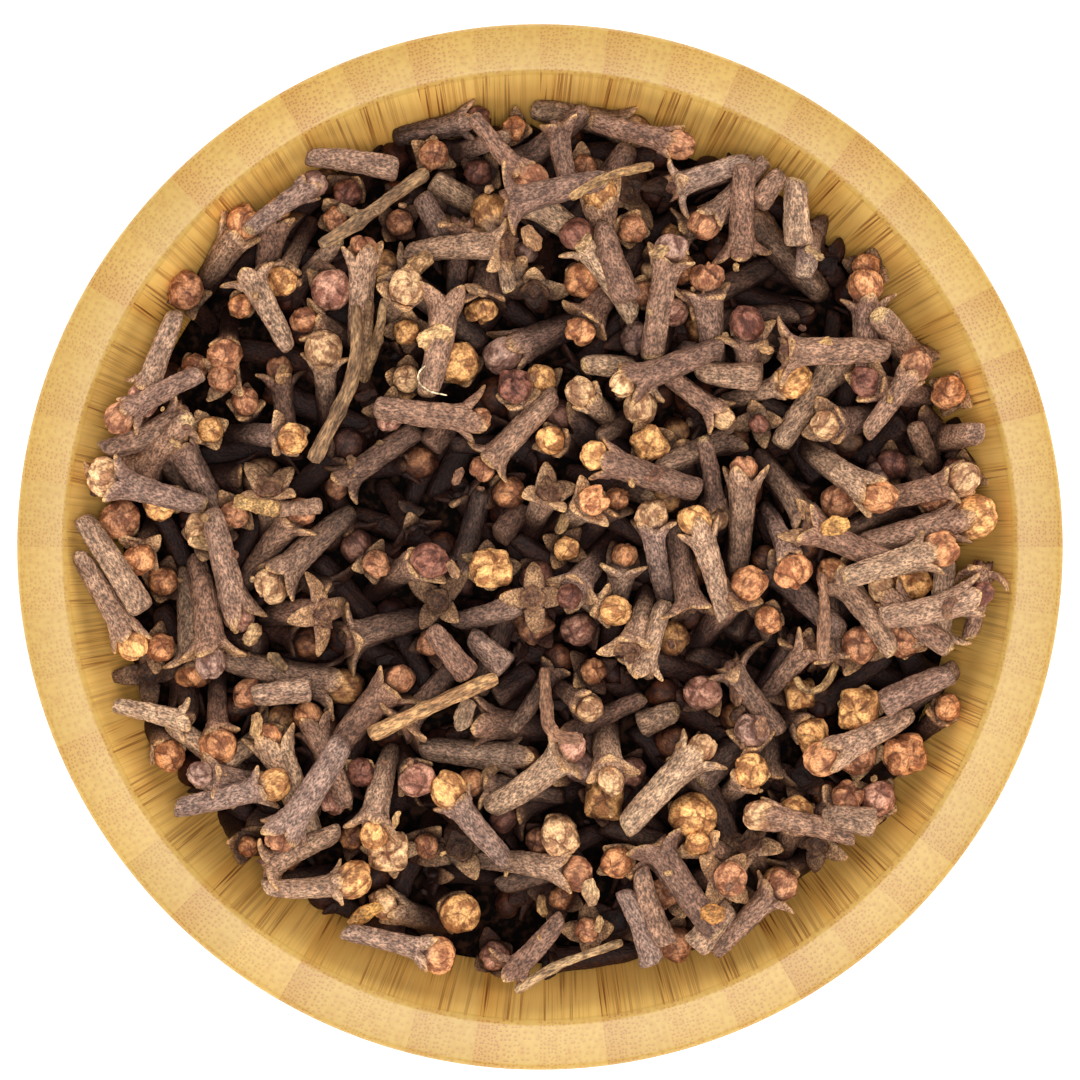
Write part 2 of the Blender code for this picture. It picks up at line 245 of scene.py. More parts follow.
# Cloves that stand upright, so that only the bud or the open calyx shows: x, y, bud radius, form, bud colour
HEADS = (
    (-36.0, 29.0, 1.5, "round", "orange"), (-25.0, 31.0, 2.5, "round", "pink"),
    (-24.5, 39.5, 1.5, "round", "brown"), (-23.5, 42.5, 1.7, "round", "dark"),
    (-38.5, 20.0, 1.7, "round", "brown"), (-41.5, 21.5, 1.7, "round", "brown"),
    (-39.5, 14.0, 1.6, "round", "ochre"), (-8.0, 45.0, 1.6, "round", "dark"),
    (-3.0, 50.5, 1.5, "round", "orange"), (5.5, 46.0, 1.5, "round", "brown"),
    (-16.5, 39.5, 1.6, "round", "brown"), (5.0, 32.0, 2.2, "round", "orange"),
    (-10.0, 22.0, 2.6, "round", "ochre"), (-16.0, 25.5, 1.6, "round", "ochre"),
    (-16.0, 20.0, 1.7, "round", "tan"), (0.0, 20.5, 1.8, "round", "ochre"),
    (11.5, 38.0, 1.7, "round", "brown"), (17.0, 33.5, 2.1, "round", "orange"),
    (39.0, 34.0, 1.7, "round", "orange"), (49.0, 18.5, 2.1, "round", "orange"),
    (32.0, 23.5, 1.4, "round", "brown"), (-50.5, 3.5, 2.4, "round", "brown"),
    (-45.5, 5.0, 2.1, "round", "ochre"), (-40.5, 2.0, 2.4, "square", "tan"),
    (-36.5, 3.5, 1.7, "round", "brown"), (-19.5, -2.5, 1.7, "round", "brown"),
    (-45.5, -4.0, 1.8, "round", "orange"), (-45.5, -12.0, 1.8, "round", "orange"),
    (-47.0, -15.5, 1.5, "open", "dark"), (-18.0, 15.5, 1.8, "round", "pink"),
    (1.0, 13.0, 1.7, "round", "ochre"), (13.0, 12.5, 2.1, "square", "ochre"),
    (3.5, 0.0, 1.5, "round", "ochre"), (-5.5, -2.5, 2.4, "square", "ochre"),
    (-0.5, -4.0, 2.1, "round", "dark"), (16.0, -11.0, 2.1, "round", "ochre"),
    (-0.5, -9.5, 2.2, "square", "brown"), (6.5, -14.5, 1.6, "round", "orange"),
    (-12.5, -6.5, 1.5, "open", "tan"), (-13.0, -11.5, 1.7, "round", "brown"),
    (26.5, 14.5, 1.2, "round", "dark"), (50.5, 9.0, 2.1, "round", "dark"),
    (40.5, 9.0, 1.6, "round", "grey"), (42.5, 10.5, 1.8, "round", "dark"),
    (38.5, -11.5, 2.2, "round", "brown"), (43.5, -11.0, 2.3, "round", "brown"),
    (44.5, -4.0, 2.5, "square", "ochre"), (40.0, -7.0, 1.7, "round", "orange"),
    (48.5, -0.5, 1.7, "round", "ochre"), (19.5, -17.5, 2.2, "round", "pink"),
    (31.5, -18.0, 1.9, "square", "ochre"), (27.5, -9.0, 1.7, "round", "orange"),
    (-22.5, -35.0, 1.6, "round", "orange"), (-18.0, -36.5, 2.5, "square", "tan"),
    (-21.5, -27.0, 1.7, "round", "dark"), (7.5, -30.5, 2.4, "square", "ochre"),
    (2.5, -35.0, 2.4, "round", "tan"), (-0.5, -35.5, 1.7, "round", "brown"),
    (11.0, -27.0, 1.9, "round", "pink"), (18.5, -32.5, 2.8, "round", "ochre"),
    (9.0, -38.0, 1.9, "round", "orange"), (9.0, -45.0, 2.0, "open", "tan"),
    (15.0, -41.5, 2.0, "square", "brown"), (-13.5, -36.0, 1.6, "round", "brown"),
    (-5.5, -49.5, 1.8, "round", "pink"), (5.5, -46.0, 1.5, "round", "brown"),
    (2.5, -42.5, 1.5, "round", "orange"), (38.0, -19.5, 2.5, "square", "ochre"),
    (38.0, -25.0, 2.5, "round", "brown"), (44.0, -25.0, 2.5, "square", "orange"),
    (40.5, -30.0, 2.1, "round", "pink"), (20.5, -43.5, 2.0, "square", "brown"),
)

# Stalks: radius at the start and at the end, colour, and the places in x and y that each runs through
STALKS = (
    (0.85, 0.75, "#836649", ((-13.5, 45.0), (-17.5, 42.0), (-21.5, 38.5), (-26.0, 35.5))),
    (0.45, 0.60, "#836649", ((-19.0, 40.0), (-21.5, 39.5), (-24.0, 40.5))),
    (0.70, 1.00, "#896A4B", ((-22.0, 29.0), (-21.9, 25.5), (-21.6, 21.5), (-24.0, 16.0), (-27.0, 10.0))),
    (0.55, 0.80, "#816347", ((-20.4, 29.5), (-20.6, 25.5), (-21.6, 20.5))),
    (0.50, 0.75, "#8C6E4E", ((-18.5, 29.5), (-19.2, 25.5), (-21.4, 20.0))),
    (0.55, 0.50, "#A17D53", ((13.5, 45.5), (8.0, 44.0), (3.5, 41.0))),
    (0.80, 0.95, "#B08A58", ((-36.5, 5.5), (-33.5, 4.8), (-31.0, 4.5))),
    (0.90, 0.95, "#8C6B55", ((-31.0, 4.5), (-28.5, 4.6), (-26.0, 5.0))),
    (0.70, 0.80, "#906A51", ((0.5, -14.5), (0.7, -18.5), (1.0, -22.5), (5.0, -22.6))),
    (0.85, 0.95, "#A98157", ((-5.0, -15.5), (-12.5, -18.8), (-20.5, -22.5))),
    (0.50, 0.60, "#A58662", ((10.0, -47.5), (2.0, -50.0), (-3.0, -53.0))),
    (0.40, 0.50, "#98774F", ((30.5, -15.5), (31.5, -17.5), (34.0, -17.0), (35.5, -14.0))),
    (0.60, 0.80, "#8D6850", ((33.5, -3.0), (34.0, -6.0), (33.5, -13.5))),
    (0.10, 0.08, "#DCCBA6", ((-13.0, 22.0), (-15.0, 20.5), (-13.8, 18.6), (-11.0, 18.0))),
)

# Broken bits: x, y, half length, half width, half thickness, heading in degrees, bend, colour
SCRAPS = (
    (-14.5, 34.0, 1.9, 1.3, 0.9, 40, 0.00, "#B08A60"),
    (-1.0, 36.5, 1.6, 1.1, 0.7, 120, 0.00, "#A87F58"),
    (-12.5, 25.0, 2.2, 1.4, 0.3, 20, 0.12, "#C0996A"),
    (-9.0, -20.0, 2.0, 1.2, 0.4, 70, 0.15, "#94795F"),
    (-21.0, -44.0, 2.3, 1.0, 0.5, 30, 0.12, "#B98A4C"),
    (20.5, -43.5, 1.5, 1.2, 0.8, 0, 0.00, "#A8753F"),
    (35.0, 2.5, 1.7, 1.2, 0.7, 15, 0.00, "#C08F52"),
    (-34.5, -10.5, 1.5, 1.0, 0.6, 60, 0.00, "#B59066"),
    (6.0, -41.0, 1.6, 1.0, 0.5, 100, 0.10, "#B08E68"),
)

# The lamp in metres and watts, the light from all round, at the horizon and overhead, and the floor's own
LIGHT_PLACE = (0.03, -0.09, 0.90)
LIGHT_SIZE = 0.32
LIGHT_POWER = 5.4
SKY_LOW, SKY_HIGH = 2.70, 0.0
FLOOR_GLOW = 0.62
FLOOR_SIZE, FLOOR_DROP = 3000.0, 0.2

# The camera, straight above, a little towards the back of the bowl
CAMERA_HEIGHT = 506.0
FRAME_WIDTH = 128.8
CAMERA_SHIFT = 0.83


def linear(colour):
    """A hex sRGB colour as linear red, green and blue."""
    coded = np.array([int(colour[i:i + 2], 16) for i in (1, 3, 5)]) / 255
    return np.where(coded <= 0.04045, coded / 12.92, ((coded + 0.055) / 1.055) ** 2.4)


def shade(colour):
    """A hex sRGB colour as the four linear values that a colour socket takes."""
    return (*linear(colour), 1.0)


def smooth(value, low, high):
    """Rises smoothly from 0 at low to 1 at high."""
    share = np.clip((value - low) / (high - low), 0, 1)
    return share * share * (3 - 2 * share)


def mixed(first, second, share):
    """The first value turning into the second as the share goes from 0 to 1."""
    return first + (second - first) * share


# Materials. EASED are the settings of a map range with smooth ends

EASED = {"interpolation_type": "SMOOTHSTEP"}


def add_node(tree, kind, inputs=None, out=0, **settings):
    """Adds a node with its settings, and sets or links its inputs, given by name or number.

    It gives back the output that out names, by name or number, or all of them when out is None.
    """
    made = tree.nodes.new("ShaderNode" + kind)
    for name, value in settings.items():
        setattr(made, name, value)
    for key, value in (inputs or {}).items():
        if isinstance(value, bpy.types.NodeSocket):
            tree.links.new(value, made.inputs[key])
        else:
            made.inputs[key].default_value = value
    return made.outputs if out is None else made.outputs[out]


def new_material(name, roughness):
    """A material with a plain Principled shader, as (material, shader, a function that adds a node to it)."""
    material = bpy.data.materials.new(name)
    material.use_nodes = True
    shader = material.node_tree.nodes["Principled BSDF"]
    shader.inputs["Roughness"].default_value = roughness
    return material, shader, partial(add_node, material.node_tree)


def vessel_marks(node, across, along, crowding):
    """Cut fibre bundles: in each cell of about 0.7 mm a small dark ring, darkest on one side.

    Crowding divides the cells, so that the dense side of a stave has more and slightly smaller rings.
    """
    place = node("CombineXYZ", {0: across, 1: along})
    flat = node("VectorMath", {0: place, "Scale": crowding}, operation="SCALE")
    cells = {"Vector": flat, "Scale": 1 / VESSEL_SPACING, "Randomness": 0.62}
    middle = node("TexVoronoi", cells, out="Position", voronoi_dimensions="2D")
    offset = node("VectorMath", {0: flat, 1: middle}, operation="SUBTRACT")
    distance = node("VectorMath", {0: offset}, out="Value", operation="LENGTH")
    sideways = node("SeparateXYZ", {0: offset}, out=1)
    hollow = {0: distance, 1: 0.10 * VESSEL_RADIUS, 2: 0.70 * VESSEL_RADIUS, 3: 0.45, 4: 1.0}
    inside = node("MapRange", hollow, **EASED)
    fading = {0: distance, 1: 0.90 * VESSEL_RADIUS, 2: 1.45 * VESSEL_RADIUS, 3: 1.0, 4: 0.0}
    outside = node("MapRange", fading, **EASED)
    leaning = {0: sideways, 1: -0.7 * VESSEL_RADIUS, 2: 0.8 * VESSEL_RADIUS, 3: 0.30, 4: 1.0}
    one_side = node("MapRange", leaning, **EASED)
    ring = node("Math", {0: inside, 1: outside}, operation="MULTIPLY")
    return node("Math", {0: ring, 1: one_side}, operation="MULTIPLY")


def bamboo_material():
    """Laminated bamboo, turned and oiled: the rim shows brown-dotted end grain and the walls show long grain.

    The eye gets a warm straw colour, a darker and denser dotted side on each stave, fine brown streaks down
    the wall, and a low satin gloss. The pattern is a solid one. In each stave it depends on the place across
    the stave and on the radius, carried along fibres that lean outwards nearly as much as the wall, so the
    wall cuts them to long streaks.
    """
    material, shader, node = new_material("oiled laminated bamboo", 0.42)
    place = node("VectorMath", {0: node("TexCoord", out="Object"), "Scale": 1 / MM}, operation="SCALE")
    x, y, z = node("SeparateXYZ", {0: place}, out=None)
    flat = node("CombineXYZ", {0: x, 1: y})
    radius = node("VectorMath", {0: flat}, out="Value", operation="LENGTH")
    angle = node("Math", {0: y, 1: x}, operation="ARCTAN2")
    turn = node("Math", {0: angle, 1: STAVES / (2 * math.pi)}, operation="MULTIPLY")
    stave = node("Math", {0: turn}, operation="FLOOR")
    share = node("Math", {0: turn}, operation="FRACT")
    width = node("Math", {0: radius, 1: 2 * math.pi / STAVES}, operation="MULTIPLY")
    across = node("Math", {0: width, 1: share}, operation="MULTIPLY")
    depth = node("Math", {0: BOWL_HEIGHT, 1: z}, operation="SUBTRACT")
    lean = node("Math", {0: depth, 1: FIBRE_BEND, 2: FIBRE_LEAN}, operation="MULTIPLY_ADD")
    drawn_shift, drawn = node("TexWhiteNoise", {"W": stave}, out=None, noise_dimensions="1D")
    drawn_strength, drawn_tone, _ = node("SeparateColor", {0: drawn}, out=None)
    carried = node("Math", {0: depth, 1: lean, 2: radius}, operation="MULTIPLY_ADD")
    along = node("Math", {0: drawn_shift, 1: 60.0, 2: carried}, operation="MULTIPLY_ADD")

    # The dense side of a stave is at its lower angle in one half of the ring and at its higher in the other
    which = node("Math", {0: x, 1: -0.35, 2: y}, operation="MULTIPLY_ADD")
    half = node("Math", {0: which, 1: 0.0}, operation="GREATER_THAN")
    turned_share = node("Math", {0: 1.0, 1: share}, operation="SUBTRACT")
    dense = node("Mix", {0: half, 2: turned_share, 3: share})
    steps = {"Value": dense, "To Min": 0.86, "To Max": 1.50, "Steps": 2.0}
    crowding = node("MapRange", steps, interpolation_type="STEPPED")
    marks = vessel_marks(node, across, along, crowding)
    side_strength = node("MapRange", {0: dense, 1: 0.0, 2: 0.85, 3: 0.36, 4: 0.95}, **EASED)
    stave_strength = node("MapRange", {0: drawn_strength, 3: 0.70, 4: 1.10})
    strength = node("Math", {0: side_strength, 1: stave_strength}, operation="MULTIPLY")
    dotted = node("Math", {0: marks, 1: strength}, operation="MULTIPLY")

    # Long grain on the walls only: thin upright streaks, drawn wider than real fibres so that they show
    drawn_long = node("Math", {0: z, 1: STREAK_DRAW}, operation="MULTIPLY")
    stretched = node("CombineXYZ", {0: across, 1: drawn_long, 2: stave})
    streaky = {"Vector": stretched, "Scale": STREAKS_PER_MM, "Detail": 1.0, "Roughness": 0.6}
    fibres = node("TexNoise", streaky)
    on_wall = node("MapRange", {0: depth, 1: 0.1, 2: 1.0}, **EASED)
    lines = node("MapRange", {0: fibres, 1: 0.56, 2: 0.68, 3: 0.0, 4: 0.75}, **EASED)
    wall_lines = node("Math", {0: lines, 1: on_wall}, operation="MULTIPLY")
    streaked = node("Math", {0: wall_lines, 1: side_strength}, operation="MULTIPLY")

    # Soft clouds, and the dense side of a stave is a little browner
    shortened = node("Math", {0: along, 1: 0.45}, operation="MULTIPLY")
    laid_out = node("CombineXYZ", {0: across, 1: shortened})
    soft = {"Vector": laid_out, "Scale": CLOUDS_PER_MM, "Detail": 3.0, "Roughness": 0.6}
    cloudy = node("TexNoise", soft, noise_dimensions="2D")
    darker_side = node("MapRange", {0: dense, 1: 0.30, 2: 1.0}, **EASED)
    uneven_staves = node("Math", {0: darker_side, 1: drawn_strength}, operation="MULTIPLY")
    pith = node("Mix", {0: uneven_staves, 6: shade("#BC9748"), 7: shade("#B18538")}, out=2, data_type="RGBA")
    clouds = node("MapRange", {0: cloudy, 1: 0.36, 2: 0.70, 3: 0.0, 4: 0.42}, **EASED)
    clouded = node("Mix", {0: clouds, 6: pith, 7: shade("#AE8132")}, out=2, data_type="RGBA")
    tone = node("MapRange", {0: drawn_tone, 3: 0.94, 4: 1.03})
    toned = node("VectorMath", {0: clouded, "Scale": tone}, operation="SCALE")

    # Painted light makes the hollow's wall paler than the end grain, and painted shade makes it darker and
    # redder towards the cloves
    inner = node("Math", {0: carried, 1: RIM_RADIUS - RIM_WIDTH / 2}, operation="LESS_THAN")
    in_hollow = node("Math", {0: on_wall, 1: inner}, operation="MULTIPLY")
    shaded_deeper = node("MapRange", {0: depth, 1: 1.0, 2: 11.0}, **EASED)
    wall_light_and_shade = node("Mix", {0: shaded_deeper, 6: WALL_LIGHT_LIFT, 7: LOW_WALL_SHADED_LIFT}, out=2, data_type="RGBA")
    brighter = node("Mix", {0: in_hollow, 6: (1, 1, 1, 1), 7: wall_light_and_shade}, out=2, data_type="RGBA")
    bright = node("VectorMath", {0: toned, 1: brighter}, operation="MULTIPLY")
    lined = node("Mix", {0: streaked, 6: bright, 7: shade("#BE7E38")}, out=2, data_type="RGBA")
    colour = node("Mix", {0: dotted, 6: lined, 7: shade("#945422")}, out=2, data_type="RGBA")
    material.node_tree.links.new(colour, shader.inputs["Base Color"])
    return material


def clove_material():
    """Dried clove skin: shrunken and oily but dull, brown-black in its pits and tan on its ridges, partly
    painted shade and highlight.

    The eye gets a grainy brown stem and smoother, blotched buds, whose petals meet along thin dark seams.
    """
    material, shader, node = new_material("dried clove skin", 0.62)
    shader.inputs["Specular IOR Level"].default_value = 0.28
    tint = node("Attribute", attribute_name="tint")
    grain = node("Attribute", out="Vector", attribute_name="grain")
    crown = node("Attribute", out="Vector", attribute_name="crown")
    bud = node("Attribute", out="Fac", attribute_name="bud")
    rest = node("Math", {0: 1.0, 1: bud}, operation="SUBTRACT")

    # Pits and ridges, drawn a little coarser than real ones so that they show, and longer along the clove.
    # The pits' darkness is partly painted shade
    drawn_out = node("VectorMath", {0: grain, 1: (1.0, 1.0, 0.55)}, operation="MULTIPLY")
    pits = node("TexNoise", {"Vector": drawn_out, "Scale": 1 / PIT_SPACING, "Detail": 2.0, "Roughness": 0.65})
    stem_wear_and_shade = node("MapRange", {0: pits, 1: 0.34, 2: 0.64, 3: 0.42, 4: 1.56}, **EASED)
    bud_wear_and_shade = node("MapRange", {0: pits, 1: 0.32, 2: 0.68, 3: 0.64, 4: 1.50}, **EASED)
    wear_and_shade = node("Mix", {0: bud, 2: stem_wear_and_shade, 3: bud_wear_and_shade})
    shaded = node("VectorMath", {0: tint, "Scale": wear_and_shade}, operation="SCALE")
    # Tan flecks on the ridges, in a doubled and warmed tint: partly the skin's own specks, partly painted
    # highlight
    ridges = node("MapRange", {0: pits, 1: 0.55, 2: 0.66, 3: 0.0, 4: 0.52}, **EASED)
    flecks_and_highlight = node("Math", {0: ridges, 1: rest}, operation="MULTIPLY")
    lit = node("VectorMath", {0: tint, "Scale": 2.1}, operation="SCALE")
    warm_fleck_highlight = node("VectorMath", {0: lit, 1: (1.08, 1.03, 0.93)}, operation="MULTIPLY")
    flecked = node("Mix", {0: flecks_and_highlight, 6: shaded, 7: warm_fleck_highlight}, out=2, data_type="RGBA")

    # Blotches, strong on buds and weaker on stems
    blotches = {"Vector": grain, "Scale": 1 / BLOTCH_SPACING, "Detail": 2.0, "Roughness": 0.62}
    blotch, blotch_colour = node("TexNoise", blotches, out=None)
    spread = node("MapRange", {0: blotch, 1: 0.40, 2: 0.60}, **EASED)
    dull, bright = (0.50, 0.38, 0.34, 1), (1.30, 1.26, 1.18, 1)
    uneven = node("Mix", {0: spread, 6: dull, 7: bright}, out=2, data_type="RGBA")
    evened = node("MapRange", {0: bud, 3: 0.45, 4: 1.0})
    felt = node("Mix", {0: evened, 6: (1, 1, 1, 1), 7: uneven}, out=2, data_type="RGBA")
    blotched = node("VectorMath", {0: flecked, 1: felt}, operation="MULTIPLY")

    # The seams lie where the crown place, bent a little by the blotches, is near 0 in x or in y
    wander = node("VectorMath", {0: blotch_colour, 1: (0.5, 0.5, 0.5)}, operation="SUBTRACT")
    strayed = node("VectorMath", {0: wander, 1: (0.55, 0.55, 0.0), 2: crown}, operation="MULTIPLY_ADD")
    off_seams = node("VectorMath", {0: strayed}, operation="ABSOLUTE")
    seam_x, seam_y, _ = node("SeparateXYZ", {0: off_seams}, out=None)
    nearest = node("Math", {0: seam_x, 1: seam_y}, operation="MINIMUM")
    closed = node("MapRange", {0: nearest, 1: 0.02, 2: 0.10, 3: 1.0, 4: 0.0}, **EASED)
    gaping = node("MapRange", {0: blotch, 1: 0.42, 2: 0.58, 3: 0.95, 4: 0.42}, **EASED)
    seam = node("Math", {0: closed, 1: gaping}, operation="MULTIPLY")
    dark = node("VectorMath", {0: tint, 1: (0.30, 0.20, 0.16)}, operation="MULTIPLY")
    colour = node("Mix", {0: seam, 6: blotched, 7: dark}, out=2, data_type="RGBA")
    material.node_tree.links.new(colour, shader.inputs["Base Color"])

    rough = node("Math", {0: bud, 1: -0.62, 2: 1.0}, operation="MULTIPLY_ADD")
    height = node("Math", {0: pits, 1: rough}, operation="MULTIPLY")
    relief = node("Bump", {"Height": height, "Strength": 1.0, "Distance": 0.26 * MM})
    material.node_tree.links.new(relief, shader.inputs["Normal"])
    return material


def deep_shade_material():
    """Painted shade for the deepest gaps: a dull, almost black stand-in for shaded cloves, with brown specks.
    """
    material, shader, node = new_material("painted shade under the cloves", 0.95)
    shader.inputs["Specular IOR Level"].default_value = 0.05
    place = node("TexCoord", out="Object")
    specks = node("TexNoise", {"Vector": place, "Scale": 1 / (1.1 * MM), "Detail": 3.0})
    share = node("MapRange", {0: specks, 1: 0.45, 2: 0.68}, **EASED)
    colour = node("Mix", {0: share, 6: shade("#080504"), 7: shade("#2A1911")}, out=2, data_type="RGBA")
    material.node_tree.links.new(colour, shader.inputs["Base Color"])
    return material


def paper_material():
    """White paper under strong light: so bright that its faint clouds hardly show."""
    material, shader, node = new_material("white paper", 0.9)
    place = node("TexCoord", out="Object")
    clouds = node("TexNoise", {"Vector": place, "Scale": 12.0, "Detail": 2.0})
    colour = node("Mix", {0: clouds, 6: shade("#FBFAF8"), 7: shade("#FFFFFF")}, out=2, data_type="RGBA")
    material.node_tree.links.new(colour, shader.inputs["Base Color"])
    shader.inputs["Emission Color"].default_value = shade("#FFFFFF")
    shader.inputs["Emission Strength"].default_value = FLOOR_GLOW
    return material


# Meshes from arrays

def shell_corners(grid):
    """The corners of closed shells, from a grid (shell, ring, side, value) whose end rings are one point."""
    count, _, _, size = grid.shape
    between = grid[:, 1:-1].reshape(count, -1, size)
    return np.concatenate((grid[:, :1, 0], between, grid[:, -1:, 0]), axis=1)


def shell_faces(rings, sides):
    """The faces of one closed shell: quads between its rings and triangles round its two end points."""
    ring = 1 + np.arange(rings - 2)[:, None] * sides
    here = np.arange(sides)[None, :]
    after = (here + 1) % sides
    low, high = ring[:-1], ring[1:]
    quads = np.stack((low + here, low + after, high + after, high + here), axis=-1).reshape(-1, 4)
    first, last = 0, 1 + (rings - 2) * sides
    start, end = ring[0], ring[-1]
    here, after = here[0], after[0]
    bottom = np.stack((np.full(sides, first), start + after, start + here), axis=-1)
    top = np.stack((np.full(sides, last), end + here, end + after), axis=-1)
    return quads, np.concatenate((bottom, top))


class Shells:
    """Closed shells that become one mesh.

    Each corner has a tint, a place in the grain, a bud share and a place on a bud's crown.
    """

    def __init__(self):
        self.points, self.tints, self.grains, self.crowns, self.buds = [], [], [], [], []
        self.quads, self.triangles = [], []
        self.count = 0

    def add(self, grid, tint, grain, bud, crown):
        """Adds shells, one for each first index of the grid."""
        shells, rings, sides, _ = grid.shape
        quads, triangles = shell_faces(rings, sides)
        size = (rings - 2) * sides + 2
        starts = self.count + np.arange(shells)[:, None, None] * size
        self.quads.append((starts + quads).reshape(-1, 4))
        self.triangles.append((starts + triangles).reshape(-1, 3))
        self.points.append(shell_corners(grid).reshape(-1, 3))
        for kept, value in ((self.tints, tint), (self.grains, grain), (self.crowns, crown)):
            kept.append(shell_corners(np.broadcast_to(value, grid.shape)).reshape(-1, 3))
        self.buds.append(np.full(shells * size, float(bud)))
        self.count += shells * size

    def make(self, name, material):
        """The object that shows these shells."""
        points, tints = np.concatenate(self.points), np.concatenate(self.tints)
        quads, triangles = np.concatenate(self.quads), np.concatenate(self.triangles)
        made = make_mesh(name, points, quads, triangles, material)
        mesh = made.data
        tint = mesh.attributes.new("tint", "FLOAT_COLOR", "POINT")
        tint.data.foreach_set("color", np.column_stack((tints, np.ones(len(tints)))).ravel())
        for key, values in (("grain", self.grains), ("crown", self.crowns)):
            vectors = mesh.attributes.new(key, "FLOAT_VECTOR", "POINT")
            vectors.data.foreach_set("vector", np.concatenate(values).ravel())
        bud = mesh.attributes.new("bud", "FLOAT", "POINT")
        bud.data.foreach_set("value", np.concatenate(self.buds))
        belongs(made, "cloves")
        return made


def make_mesh(name, points, quads, triangles, material):
    """A smooth mesh object from points in millimetres and arrays of faces."""
    mesh = bpy.data.meshes.new(name)
    mesh.vertices.add(len(points))
    mesh.vertices.foreach_set("co", (points * MM).ravel())
    mesh.loops.add(quads.size + triangles.size)
    mesh.loops.foreach_set("vertex_index", np.concatenate((quads.ravel(), triangles.ravel())))
    mesh.polygons.add(len(quads) + len(triangles))
    starts = np.concatenate((np.arange(len(quads)) * 4, quads.size + np.arange(len(triangles)) * 3))
    mesh.polygons.foreach_set("loop_start", starts)
    mesh.update(calc_edges=True)
    mesh.shade_smooth()
    mesh.materials.append(material)
    made = bpy.data.objects.new(name, mesh)
    bpy.context.scene.collection.objects.link(made)
    return made


def belongs(piece, node):
    """The piece rides on the part's one body and stands for a CAD node, which it hides."""
    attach(piece, "root")
    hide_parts(node)


# The bowl

class Arc:
    """A circular arc in the (radius, height) plane that bulges outwards between two points."""

    def __init__(self, low, high, sweep):
        low, high = np.array(low), np.array(high)
        chord = high - low
        self.low, self.high = low[1], high[1]
        self.radius = np.hypot(*chord) / (2 * np.sin(sweep / 2))
        inward = np.array((-chord[1], chord[0])) / np.hypot(*chord)
        self.centre = (low + high) / 2 + inward * self.radius * np.cos(sweep / 2)

    def at(self, height):
        """How far the arc lies from the bowl's axis at this height."""
        rise = np.clip(height, self.low, self.high) - self.centre[1]
        return self.centre[0] + np.sqrt(self.radius**2 - rise**2)

    def points(self, steps):
        """Points along the arc, low to high."""
        heights = np.linspace(self.low, self.high, steps + 1)
        return np.column_stack((self.at(heights), heights))


EDGE = BOWL_HEIGHT - EDGE_ROUND
OUTER_WALL = Arc((FOOT_RADIUS, FOOT_CHAMFER), (RIM_RADIUS, EDGE), OUTER_SWEEP)
INNER_WALL = Arc((FLOOR_RADIUS, FLOOR_HEIGHT), (RIM_RADIUS - RIM_WIDTH, EDGE), INNER_SWEEP)


def quarter(centre, start, steps=6):
    """A quarter circle of the rim's rounded edge, from the start angle."""
    turn = start + math.pi / 2 * np.linspace(0, 1, steps + 1)[1:-1]
    return np.column_stack((centre[0] + EDGE_ROUND * np.cos(turn), centre[1] + EDGE_ROUND * np.sin(turn)))


def turned(profile, sides):
    """A grid (1, ring, side, xyz) made by turning a (radius, height) profile about the upright axis."""
    turn = 2 * np.pi * np.arange(sides) / sides
    radius, height = profile[:, :1], profile[:, 1:]
    flat = np.stack((radius * np.cos(turn), radius * np.sin(turn), height + 0 * turn), axis=-1)
    return flat[None]


def make_bowl(material):
    """The bowl: its section goes from the middle of the foot up the outside and down to the floor."""
    outer, inner = RIM_RADIUS - EDGE_ROUND, RIM_RADIUS - RIM_WIDTH + EDGE_ROUND
    profile = np.concatenate((
        [(0, 0), (FOOT_RADIUS - FOOT_CHAMFER, 0)],
        OUTER_WALL.points(28),
        quarter((outer, EDGE), 0),
        [(outer, BOWL_HEIGHT), (mixed(outer, inner, 0.5), BOWL_HEIGHT), (inner, BOWL_HEIGHT)],
        quarter((inner, EDGE), math.pi / 2),
        INNER_WALL.points(28)[::-1],
        [(0, FLOOR_HEIGHT)],
    ))
    quads, triangles = shell_faces(len(profile), BOWL_SIDES)
    points = shell_corners(turned(profile, BOWL_SIDES))[0]
    bowl = make_mesh("bamboo_bowl", points, quads, triangles, material)
    belongs(bowl, "bowl")
    return bowl


# The heap

def core_top(radius):
    """The height of the core's top, a low dome."""
    return CORE_TOP - CORE_FALL * (radius / CORE_RADIUS) ** 2


def make_core(material):
    """The core: near-black painted shade that fills the bowl below the cloves, humped on top so that the gaps
    show no flat.

    Its humps are a sum of sine waves in x and y, faded out at the edge.
    """
    sides, rings = 96, 24
    edge = core_top(CORE_RADIUS)
    heights = np.linspace(FLOOR_HEIGHT + WALL_GAP, edge, 12)
    wall = np.column_stack((INNER_WALL.at(heights) - WALL_GAP, heights))
    radius = np.linspace(wall[-1, 0], 0, rings + 1)[1:]
    top = np.column_stack((radius, core_top(radius)))
    profile = np.concatenate(([(0, heights[0])], wall, top))
    grid = turned(profile, sides)
    x, y = grid[..., 0], grid[..., 1]
    hump = np.sin(1.1 * x + 0.7 * y) + np.sin(0.9 * y - 0.6 * x + 1) + np.sin(1.7 * x - 0.4) * np.sin(1.5 * y)
    raised = smooth(grid[..., 2], edge - 0.01, edge + 0.4)
    grid[..., 2] += 0.45 * hump * raised * smooth(CORE_RADIUS - np.hypot(x, y), 0, 3)
    quads, triangles = shell_faces(len(profile), sides)
    core = make_mesh("clove_core", shell_corners(grid)[0], quads, triangles, material)
    belongs(core, "cloves")
    return core


def along_rods(ends, shares):
    """Points at these shares of each rod, from its base end to its crown end."""
    shares = shares[:, None]
    return ends[:, None, 0] * (1 - shares) + ends[:, None, 1] * shares


